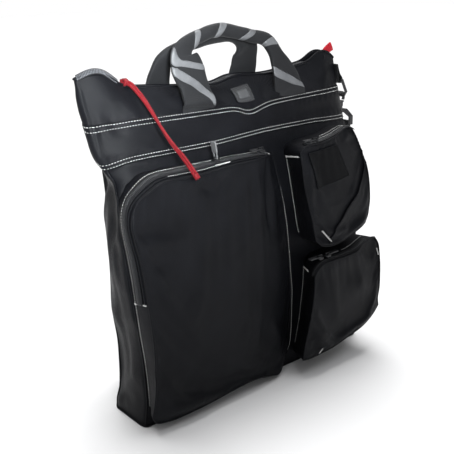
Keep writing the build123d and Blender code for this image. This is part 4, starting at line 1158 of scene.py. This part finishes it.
tack_on(big, u_b, 3.5, 23.5)
tack_on(big, big.column(2, lambda x, s: x < 11.5), 5, 19)
t0_ = big.column(2, lambda x, s: x < -57)
t1_ = big.column(2, lambda x, s: x < -80)
a, an = big.line(t0_, t0_ + 0.01, h=19.5, lift=1.3, n=2)
b, bn = big.line(t1_, t1_ + 0.01, h=19.5, lift=1.3, n=2)
bartack("bartacks", a[0], b[0], an[0], width=2.6, pitch=0.6)

# the upper pocket
ua = up.column(2, lambda x, s: x < 156)
ub = up.column(2, lambda x, s: x < 60)
tape, teeth = zip_line("upper_pocket_zip", up.line(ua, ub, h=36, lift=0.9, n=300), 5.5, 4.4, proud=1.0)
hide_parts("upper_pocket_zip")
uc = up.column(3, lambda x, s: s < 306)
ud = up.column(3, lambda x, s: s < 194)
stitch("upper_pocket_stitching", up.line(uc, ud, h=4.5, lift=0.5, n=300), pitch=3.4)
stitch("upper_pocket_stitching", up.line(up.column(2, lambda x, s: x < 157), up.column(2, lambda x, s: x < 98), h=20, lift=0.5, n=200), pitch=3.1)
stitch("upper_pocket_stitching", up.line(up.column(2, lambda x, s: x < 157), up.column(2, lambda x, s: x < 92), h=28.5, lift=0.6, n=200), pitch=3.1)
tack_on(up, uc, 4.5, 38, lift=0.8)

# the lower pocket
la = lo.column(2, lambda x, s: x < 170)
lb = lo.column(2, lambda x, s: x < 62)
tape, teeth = zip_line("lower_pocket_zip", lo.line(la, lb, h=40, lift=0.7, n=300), 5.5, 4.4, proud=1.0)
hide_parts("lower_pocket_zip")
lc = lo.column(3, lambda x, s: s < 142)
ld = lo.column(3, lambda x, s: s < 34)
stitch("lower_pocket_stitching", lo.line(lc, ld, h=5.0, lift=0.5, n=300), pitch=3.4)
stitch("lower_pocket_stitching", lo.line(lo.column(2, lambda x, s: x < 173), lo.column(2, lambda x, s: x < 130), h=30, lift=0.8, n=160), pitch=3.1)
tack_on(lo, lc, 6, 24, lift=0.8)


def drape(P, x, s, lift):
    """Lays points (x, s) on a pocket's face."""
    gx, gs = flat_of(P)
    gh, gn = height_of(P).ravel(), normals(P).reshape(-1, 3)
    x, s = np.broadcast_arrays(arr(x), arr(s))
    q = np.stack([x.ravel(), s.ravel()], 1)
    g = np.stack([gx.ravel(), gs.ravel()], 1)
    h, n = np.empty(len(q)), np.empty((len(q), 3))
    for i, p in enumerate(q):
        d = ((g - p) ** 2).sum(1)
        k = np.argpartition(d, 6)[:6]
        w = 1 / (d[k] + 0.4)
        w /= w.sum()
        h[i], n[i] = (gh[k] * w).sum(), (gn[k] * w[:, None]).sum(0)
    n = unit(n)
    out = flat(q[:, 0], q[:, 1], h) + n * (lift.ravel()[:, None] if isinstance(lift, np.ndarray) else lift)
    return out.reshape(*x.shape, 3), n.reshape(*x.shape, 3)


def quad(c00, c10, c11, c01, nu, nv):
    u, v = np.linspace(0, 1, nu)[None, :], np.linspace(0, 1, nv)[:, None]
    out = []
    for k in range(2):
        out.append((1 - u) * (1 - v) * c00[k] + u * (1 - v) * c10[k] + u * v * c11[k] + (1 - u) * v * c01[k])
    return out


px, ps = quad((65.5, 263), (128, 270), (105, 315), (55, 311), 26, 22)
Q, _ = drape(up_P, px, ps, 1.5)
patch = sheet_piece("hook_loop_patch_pile", Q, 1.5, LOOP)
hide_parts("hook_loop_patch")
edge = rim_of(Q)
tube("hook_loop_patch_edge", edge, OUTV, 0.55, NYLON, sides=6, closed=True)

# a slanted pocket on the upper pocket's lower right corner
A = smooth_path([(90, 182), (97, 197), (112, 213), (126, 227.5), (144, 244.5), (157.5, 261), (163, 277), (160, 295)], 34)
B = smooth_path([(94, 180.5), (124, 184.5), (153, 193), (163, 197), (169.5, 209), (171, 232), (169.5, 256), (165.2, 279), (160.4, 295.4)], 34)
w = np.linspace(0, 1, 14)[:, None]
gx = B[None, :, 0] * (1 - w) + A[None, :, 0] * w
gs = B[None, :, 1] * (1 - w) + A[None, :, 1] * w
lift = 0.5 + 1.7 * w ** 3 * np.sin(np.pi * np.linspace(0.02, 0.98, 34))[None] ** 0.5
Q, qn = drape(up_P, gx, gs, lift + 0 * gx)
slant = sheet_piece("slant_pocket_cloth", Q, 1.1, NYLON)
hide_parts("slant_pocket_panel")
tube("slant_pocket_hem", Q[-1], qn[-1], 0.8, NYLON, sides=8)
p0, n0 = drape(up_P, arr([78, 93]), arr([203, 184.5]), 1.0)
bartack("bartacks", p0[0], p0[1], n0[0], width=2.4, pitch=0.6)
p0, n0 = drape(lo_P, arr([187, 191.5]), arr([152, 141]), 0.9)
bartack("bartacks", p0[0], p0[1], n0[0], width=2.2, pitch=0.6)
p0, n0 = drape(lo_P, arr([64, 69]), arr([29.5, 36.5]), 1.2)
bartack("bartacks", p0[0], p0[1], n0[0], width=2.2, pitch=0.6)

# the label: a plain rectangle with a raised rim
lx, lz = quad((-7, 381), (20, 381), (20, 397), (-7, 397), 15, 12)
Q, qn = on_bag(lx, lz, 1.9)
label = sheet_piece("label_patch_rubber", Q, 1.5, RUBBER)
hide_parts("label_patch")
tube("label_patch_rim", rim_of(Q), (0, -0.7, 0.7), 0.6, RUBBER, sides=8, closed=True)
ix, iz = quad((-2, 384.5), (15, 384.5), (15, 393.5), (-2, 393.5), 9, 7)
Q, qn = on_bag(ix, iz, 2.5)
sheet_piece("label_patch_field", Q, 0.9, FIELD)

# ------------------------------------------------------------------ the mouth: edges, zip, ears
top_row = ring[-1]
tube("mouth_binding", top_row + arr((0, 0, 0.2)), (0, 0, 1), 1.35, NYLON, sides=8, closed=True)
front_top, back_top = ring[-1, :NF], ring[-1, i_br:i_bl + 1][::-1]


def mouth_z(x):
    z = np.interp(x, front_top[:, 0], front_top[:, 2])
    zb = np.interp(x, back_top[:, 0], back_top[:, 2])
    z = (z + zb) / 2 - 0.6
    left = np.clip((-x - 150) / 14, 0, 1) * np.clip((x + 182.5) / 3, 0, 1)
    right = np.clip((x - 140) / 14, 0, 1) * np.clip((182.5 - x) / 3, 0, 1)
    k = np.maximum(left, right)
    return z * (1 - k) + 409.6 * k


zx = np.linspace(-181.5, 181.5, 220)
zp = np.stack([zx, np.full(220, 36.2), mouth_z(zx)], 1)
zn = np.repeat(arr([[0, 0, 1.0]]), 220, 0)
tape = ribbon("main_zip_tape_cloth", zp, (0, 1, 0), zn, 9.0, 0.9, TAPE, crown=0.2)
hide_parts("main_zip_tape")
zq, zn2 = resample((zp, zn), 1.9)
teeth = capsules("main_zip_teeth", zq + arr((0, 0, 0.9)), np.repeat(arr([[0.1, 1, 0]]), len(zq), 0), zn2, 5.8, 0.78, CHAIN, arch=0.4, flat=0.8)
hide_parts("main_zip_chain")


def ear_cap(name, cols, dip, replace):
    f, b = front_top[cols], back_top[cols]
    t = np.linspace(0, 1, 13)[:, None, None]
    P = f[None] * (1 - t) + b[None] * t
    P[..., 2] -= dip * np.sin(np.pi * t[..., 0])
    P[..., 2] += 0.5 * noise_at(P, 9, 21.0) * np.sin(np.pi * t[..., 0])
    o = sheet_piece(name, P, 1.4, NYLON)
    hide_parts(replace)


ear_cap("zip_ear_left_cloth", np.where(front_top[:, 0] < -180.5)[0], 1.0, "zip_ear_left")
ear_cap("zip_ear_right_cloth", np.where(front_top[:, 0] > 180.5)[0], 1.0, "zip_ear_right")

# the zip's far end, folded out over the left ear with its coil showing
ex = np.linspace(-211.5, -163, 60)
fy = np.interp(ex, front_top[:, 0], front_top[:, 1])
fz = np.interp(ex, front_top[:, 0], front_top[:, 2])
ec = np.stack([ex, fy + 1.0, fz + 0.4 + 1.4 * np.sin((ex + 211.5) / 48.5 * np.pi)], 1)
en = np.repeat(unit(arr([[-0.1, -0.72, 0.69]])), 60, 0)
T = unit(np.gradient(ec, axis=0))
ribbon("zip_end_tape", ec, np.cross(en, T), en, 4.2, 1.3, TAPE, crown=0.8, nu=9)
eq, en2 = resample((ec, en), 1.75)
T = unit(np.gradient(eq, axis=0))
# the coil takes the lighter copy of the chain colour: painted light on the ear
capsules("zip_end_coil", eq + en2 * 1.1, unit(np.cross(en2, T) + T * 0.25), en2, 7.4, 0.72, COIL_PAINTED_LIGHT, arch=0.9)

# the red tab at the zip's other end
rc = smooth_path([(187, 35.5, 420), (191, 35.4, 424), (196, 35, 427), (202, 34.6, 430)], 20)
T = unit(np.gradient(rc, axis=0))
tab = ribbon("zip_end_tab_cloth", rc, np.cross((0, -1.0, 0), T), (0, -1, 0), np.linspace(5.0, 6.6, 20), 3.0, RED_TAB, crown=0.4)
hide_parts("zip_end_tab")

# ------------------------------------------------------------------ handles
class Limb:
    """A flat leg that rolls into a round grip, and back."""

    def __init__(self, stations, n=210, m=40):
        q = smooth_path(stations, n)
        self.C, self.a, self.b, self.e = q[:, :3], q[:, 3], q[:, 4], q[:, 5]
        self.s = along(self.C)
        T = unit(np.gradient(self.C, axis=0))
        N0 = np.repeat(arr([[0, -1.0, 0.0]]), n, 0)
        self.W = unit(np.cross(T, N0))
        self.N = np.cross(self.W, T)
        self.T = T

    def get(self, L):
        f = [np.interp(L, self.s, g) for g in (self.a, self.b, self.e)]
        v = [np.stack([np.interp(L, self.s, G[:, j]) for j in range(3)], -1) for G in (self.C, self.W, self.N)]
        return v[0], unit(v[1]), unit(v[2]), f[0], f[1], f[2]

    def front(self, L, f, lift):
        C, W, N, a, b, e = self.get(L)
        f = np.clip(f, -0.999, 0.999)
        y = (1 - np.abs(f) ** e) ** (1 / e)
        gx, gy = np.sign(f) * np.abs(f) ** (e - 1) / a, y ** (e - 1) / b
        g = np.hypot(gx, gy)
        gx, gy = gx / g, gy / g
        return C + W * (a * f + gx * lift)[..., None] + N * (b * y + gy * lift)[..., None]

    def mesh(self, name, material, body, m=44):
        th = np.linspace(0, 2 * np.pi, m, endpoint=False)
        c, s = np.cos(th)[None], np.sin(th)[None]
        e = self.e[:, None]
        x = np.sign(c) * np.abs(c) ** (2 / e) * self.a[:, None]
        y = np.sign(s) * np.abs(s) ** (2 / e) * self.b[:, None]
        P = self.C[:, None] + self.W[:, None] * x[..., None] + self.N[:, None] * y[..., None]
        P = P + unit(P - self.C[:, None]) * (0.45 * noise_at(P, 13, 31.0) + 0.3 * noise_at(P, 30, 32.0))[..., None]
        n = len(P)
        faces = []
        for i in range(n - 1):
            for j in range(m):
                k = (j + 1) % m
                faces.append((i * m + j, i * m + k, (i + 1) * m + k, (i + 1) * m + j)[::-1])
        faces.append(tuple(range(m)))
        faces.append(tuple((n - 1) * m + j for j in range(m))[::-1])
        return put(name, P.reshape(-1, 3), faces, material, body)


def foot(x, z, lift):
    p, _ = on_bag(x, z, lift)
    return tuple(p)


front_st = [
    (*foot(-68, 372.6, 0.2), 25, 0.9, 8), (*foot(-67.8, 378, 1.2), 24.5, 1.2, 8), (-67.5, -2.5, 385, 23.5, 2.0, 7), (-68, 4, 396, 21.5, 2.6, 6), (-69, 8, 407, 21, 3.0, 5),
    (-72, 11, 419, 22.5, 3.0, 5), (-75, 14, 431, 22.5, 3.2, 4), (-77.5, 16.5, 441, 17.5, 3.8, 3.4), (-71.5, 18.5, 450.5, 12, 5.2, 2.6),
    (-60, 19.5, 457.5, 9.4, 6.8, 2.2), (-45, 20, 462, 8.5, 7.2, 2.1), (-28, 20, 466.2, 8.4, 7.2, 2.1), (-12, 20, 466.4, 8.6, 7.2, 2.1), (4, 20, 463.6, 8.4, 7.2, 2.1),
    (20, 20, 460, 8.3, 7.2, 2.1), (36, 20, 455.5, 8.4, 7.2, 2.1), (52, 20, 453, 8.6, 7.0, 2.2), (62, 19, 448.5, 9.0, 6.4, 2.4), (69, 18, 441, 9.4, 5.4, 2.8),
    (74, 16, 432, 10.5, 4.2, 3.4), (78.5, 13, 421, 14, 3.2, 4.4), (83, 10, 409, 18, 2.8, 5), (86.5, 7.5, 397, 22, 2.4, 6), (88.5, 6, 386, 24.5, 1.8, 7),
    (*foot(89.5, 378, 1.2), 25.5, 1.2, 8), (*foot(90, 372.6, 0.2), 26, 0.9, 8),
]
back_y0 = 54.0
back_st = [
    (-93, 52.5, 373, 25, 1.0, 8), (-93, 54.5, 381, 24, 1.6, 8), (-94, 50, 400, 18.5, 2.6, 6), (-93.5, 44, 418, 15, 3.2, 5), (-90.5, 39.5, 432, 12, 4.0, 3.6),
    (-82, 36, 441.5, 9, 5.4, 2.6), (-66, 34, 448, 8, 6.4, 2.2), (-42, 33, 453.5, 7.8, 6.6, 2.1), (-10, 32.5, 457.5, 7.8, 6.6, 2.1), (14, 33, 457, 8.2, 6.4, 2.2),
    (31, 34.5, 450.5, 12, 5.0, 2.8), (40, 37, 440, 19.5, 3.6, 4), (43.5, 44, 421, 21.5, 3.0, 5), (44, 49.5, 403, 23, 2.6, 6), (45, 54.5, 383, 24.5, 1.6, 8), (46, 53, 373, 25, 1.0, 8),
]
front_limb = Limb(front_st)
back_limb = Limb(back_st)
fh = front_limb.mesh("front_handle_webbing", WEB, None)
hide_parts("front_handle", "front_grip")
bh = back_limb.mesh("back_handle_webbing", WEB, None)
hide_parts("back_handle", "back_grip")
half_n = len(front_limb.s) // 2


def L_of_z(z, left=True):
    zz, ss = (front_limb.C[:half_n, 2], front_limb.s[:half_n]) if left else (front_limb.C[half_n:, 2][::-1], front_limb.s[half_n:][::-1])
    k = np.argsort(zz)
    return float(np.interp(z, zz[k], ss[k]))


def L_of_x(x):
    i = int(np.argmin(np.abs(front_limb.C[:, 0] - x) + 100 * (front_limb.C[:, 2] < 445)))
    return float(front_limb.s[i])


stripes = []
for spec in [
    (L_of_z(430), L_of_z(385), 8.6, 6.6, 1.0), (L_of_z(441), L_of_z(419), 4.6, 4.2, 1.2),
    (L_of_x(-58) + 7, L_of_x(-58) - 5, 4.6, 4.2, 1.0),
    (L_of_x(-20) + 7, L_of_x(-20) - 6, 5.4, 5.0, 1.0), (L_of_x(25) + 10, L_of_x(25) - 8, 5.6, 5.0, 1.0), (L_of_x(61) + 10, L_of_x(61) - 4, 6.0, 6.0, 1.0),
    (L_of_z(383, False), L_of_z(415, False), 5.0, 8.0, 1.0),
]:
    Lo, Li, ho, hi, _ = spec
    f = np.linspace(-0.995, 0.995, 41)[:, None]
    k = (f + 1) / 2
    L = Lo + (Li - Lo) * k + np.linspace(-1, 1, 7)[None] * (ho + (hi - ho) * k) * (1 - 0.25 * np.abs(f) ** 6)
    P = front_limb.front(L, f + 0 * L, 0.42)
    stripes.append(shell_mesh(P[::-1], 0.9))
sv, sf = [], []
for v, f in stripes:
    sf += [tuple(i + len(sv) for i in q) for q in f]
    sv += list(v)
st_obj = put("front_handle_stripes", sv, sf, STRIPE, None)
for o in (fh, st_obj):
    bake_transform(o)
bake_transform(bh)

# ------------------------------------------------------------------ ring tabs, strap, slider
p = arr([(206.6, 36, 404.5), (208.6, 36, 398), (212, 36, 390), (216.4, 36, 384.6), (217.3, 36, 380.4), (214.6, 36, 377.3), (211, 36, 378), (209.2, 36, 382), (207.6, 36, 390), (206.2, 36, 398), (205.6, 36, 404)])
C = smooth_path(p, 60)
T = unit(np.gradient(C, axis=0))
tab_r = ribbon("ring_tab_right_webbing", C, (0, 1, 0), np.cross(T, arr((0, 1.0, 0))), 11, 1.5, WEB)
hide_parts("ring_tab_right")
p = arr([(-150, 46.5, 404.5), (-150, 50.5, 398), (-150, 55.5, 390), (-150, 61, 385), (-150, 63.3, 381), (-150, 61.5, 377.2), (-150, 57.8, 376.9), (-150, 55.2, 380), (-150, 52.2, 388), (-150, 49, 396), (-150, 45.5, 403)])
C = smooth_path(p, 60)
T = unit(np.gradient(C, axis=0))
tab_l = ribbon("ring_tab_left_webbing", C, (1, 0, 0), np.cross(T, arr((1.0, 0, 0))), 11, 1.5, WEB)
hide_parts("ring_tab_left")

LOW = 1.3
lay_y = 72.0
arc_r = [(225.26 - 30 + 30 * math.cos(a), lay_y, LOW + 30 - 30 * math.sin(a)) for a in np.linspace(0.0, math.pi / 2, 6)]
right_pts = [(223.2, 39.4, 286), (222.9, 37.6, 299), (222.3, 36.4, 310), (222.4, 36, 317), (225.26, 36, 320.9), (228.1, 36, 317), (227.9, 36.4, 310), (226.6, 37.6, 298), (225.7, 39.9, 282),
             (225.2, 45, 244), (225.0, 52, 192), (225.1, 60, 132), (225.26, 67.5, 78)] + arc_r + [(165, 71.6, LOW + 0.4), (120, 71.2, LOW), (70, 71.4, LOW), (40, 72, LOW + 0.2), (24, 72, LOW + 0.9), (12, 72, LOW + 2.9), (0, 72, LOW + 3.9), (-10, 72, LOW + 2.2), (-15, 72, LOW + 0.4)]
C = smooth_path(right_pts, 420)
T = unit(np.gradient(C, axis=0))
W = unit(arr((0, 1.0, 0)) - T * T[:, 1:2])
strap_r = ribbon("strap_right_webbing", C, W, np.cross(W, T), 19, 1.7, WEB, None, nu=17)
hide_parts("strap_right")
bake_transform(strap_r)
arc_l = [(-142 + 30 - 30 * math.cos(a), lay_y, LOW + 30 - 30 * math.sin(a)) for a in np.linspace(0.0, math.pi / 2, 6)]
left_pts = [(-150.2, 63.8, 284), (-150, 63.6, 297), (-150, 63.1, 308), (-150, 63.1, 315), (-150, 66, 318.9), (-150, 68.9, 315), (-150, 68.8, 308), (-149.8, 67.4, 296), (-149.2, 66.6, 280), (-147.4, 66.2, 245),
            (-144.6, 66.6, 212), (-142.6, 68.6, 185), (-142, 71, 158), (-142, 72, 120), (-142, 72, 78)] + arc_l + [(-90, 72.2, LOW + 0.4), (-60, 72.3, LOW), (-36, 72, LOW - 0.1), (-22, 72, LOW + 0.3), (-18.4, 72, LOW + 2.6), (-22, 72, LOW + 3.5), (-34, 72, LOW + 2.1), (-62, 72, LOW + 1.9)]
C = smooth_path(left_pts, 420)
T = unit(np.gradient(C, axis=0))
turn = np.clip((222 - C[:, 2]) / 72, 0, 1)
turn = turn * turn * (3 - 2 * turn) * math.pi / 2
W = np.stack([np.cos(turn), np.sin(turn), 0 * turn], 1)
W = unit(W - T * (W * T).sum(1, keepdims=True))
strap_l = ribbon("strap_left_webbing", C, W, np.cross(W, T), 19, 1.7, WEB, None, nu=17)
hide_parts("strap_left")
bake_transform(strap_l)
frame_pts = [(-19, lay_y - 22), (19, lay_y - 22), (19, lay_y + 22), (-19, lay_y + 22)]
loop = []
for i in range(4):
    a, b = arr(frame_pts[i]), arr(frame_pts[(i + 1) % 4])
    for k in np.linspace(0.06, 0.94, 9):
        loop.append(tuple(a + (b - a) * k))
loop = smooth_path([(x, y, LOW + 1.6) for x, y in loop], 120, closed=True)
fv, ff = tube_mesh(loop, (0, 0, 1), 2.1, 10, closed=True, flat=0.75)
fv, ff = list(fv), list(ff)
bv, bf = tube_mesh([(0, y, LOW + 1.6) for y in np.linspace(lay_y - 22, lay_y + 22, 12)], (0, 0, 1), 2.3, 10, flat=0.6)
ff += [tuple(i + len(fv) for i in q) for q in bf]
fv += list(bv)
adj = put("strap_adjuster_frame", fv, ff, BUCKLE, "root")
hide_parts("strap_adjuster")

# the padded wall inside
u, v = np.linspace(-1, 1, 61)[None, :], np.linspace(-1, 1, 51)[:, None]
x = 178 * u * (1 - 0.012 * v ** 2) + 0 * v
z = 159 + 148 * v * (1 - 0.012 * u ** 2)
puff = (1 - np.abs(u) ** 8) * (1 - np.abs(v) ** 8)
quilt = 0.5 * np.abs(np.sin((x + z) / 55 * np.pi) * np.sin((x - z) / 55 * np.pi)) ** 0.3
P = np.stack([x, 25.6 - (0.3 + quilt) * puff, z], -1)
verts, faces = shell_mesh(P, 2.2 * (0.6 + 0.4 * puff))
divider = put("padded_divider_cloth", verts, faces, NYLON_IN, "root")
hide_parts("padded_divider")


# ------------------------------------------------------------------ the hard pieces, as made
def hard(names, material, width=0.35):
    for n in names:
        o = bpy.data.objects[n]
        o.data.materials.clear()
        o.data.materials.append(material)
        m = o.modifiers.new("edge", "BEVEL")
        m.width, m.segments, m.limit_method, m.angle_limit = width * MM, 2, "ANGLE", math.radians(35)


hard(["main_slider", "big_slider_left", "big_slider_right", "upper_slider", "lower_slider_left", "lower_slider_right"], SLIDER, 0.3)
hard(["big_puller_right", "upper_puller", "lower_puller_left", "lower_puller_right"], TABM, 0.3)
hard(["big_puller_left"], GREYTAB, 0.3)
hard(["main_pull_ring"], BRIGHT, 0.2)
hard(["d_ring_right", "swivel_right", "hook_right", "d_ring_left", "swivel_left", "hook_left", "hook_gate_right", "hook_gate_left"], BLACK, 0.3)
hard(["base_stiffener"], BOARD, 0.4)

# ------------------------------------------------------------------ floor, light
floor_mat, fnt, fp = shader("floor", (0.86, 0.86, 0.865), 0.6, spec=0.25)
fn = node(fnt, "ShaderNodeTexNoise", Scale=3.0, Detail=2.0)
ftc = node(fnt, "ShaderNodeTexCoord")
fnt.links.new(ftc.outputs["Object"], fn.inputs["Vector"])
fmix = node(fnt, "ShaderNodeMix", _data_type="RGBA")
fmix.inputs["A"].default_value, fmix.inputs["B"].default_value = (0.85, 0.85, 0.857, 1), (0.87, 0.87, 0.873, 1)
fnt.links.new(fn.outputs["Fac"], fmix.inputs["Factor"])
fnt.links.new(fmix.outputs["Result"], fp.inputs["Base Color"])
floor = put("floor", [(-9000, -9000, 0), (9000, -9000, 0), (9000, 9000, 0), (-9000, 9000, 0)], [(0, 1, 2, 3)], floor_mat)


def lamp(name, place, look, size, power, colour=(1, 1, 1)):
    d = bpy.data.lights.new(name, "AREA")
    d.energy, d.size, d.color = power, size, colour
    o = link(bpy.data.objects.new(name, d))
    o.location = place
    o.rotation_euler = (Vector(look) - Vector(place)).to_track_quat("-Z", "Y").to_euler()
    return o


sun_data = bpy.data.lights.new("key_sun", "SUN")
sun_data.energy, sun_data.angle = 3.3, math.radians(42)
sun = link(bpy.data.objects.new("key_sun", sun_data))
sun.rotation_euler = Vector((-0.25, -0.42, -1.6)).to_track_quat("-Z", "Y").to_euler()
front = lamp("front_softbox", (-0.58, -0.97, 0.68), (-0.22, 0, 0.50), 0.35, 2.6, (0.92, 0.97, 1.0))
front.data.spread = math.radians(36)
lamp("top_softbox", (0.40, -0.90, 1.75), (0.06, -0.28, 0.05), 0.9, 5.8, (0.97, 0.98, 1.0))
world = bpy.data.worlds.new("studio")
scene.world = world
world.use_nodes = True
wn = world.node_tree
bg = wn.nodes["Background"]
bg.inputs[0].default_value = (1, 1, 1, 1)
bg.inputs[1].default_value = 0.31
white = wn.nodes.new("ShaderNodeBackground")
white.inputs[0].default_value = (1, 1, 1, 1)
white.inputs[1].default_value = 1.0
path = wn.nodes.new("ShaderNodeLightPath")
mixer = wn.nodes.new("ShaderNodeMixShader")
wn.links.new(path.outputs["Is Camera Ray"], mixer.inputs[0])
wn.links.new(bg.outputs[0], mixer.inputs[1])
wn.links.new(white.outputs[0], mixer.inputs[2])
wn.links.new(mixer.outputs[0], wn.nodes["World Output"].inputs[0])

# ------------------------------------------------------------------ stitching pieces
for group, rows_ in STITCHES.items():
    pos = np.concatenate([r[0] for r in rows_])
    tan = np.concatenate([r[1] for r in rows_])
    nrm = np.concatenate([r[2] for r in rows_])
    ln = np.concatenate([r[3] for r in rows_])
    capsules(group, pos, tan, nrm, ln, rows_[0][4], THREAD, arch=0.45)
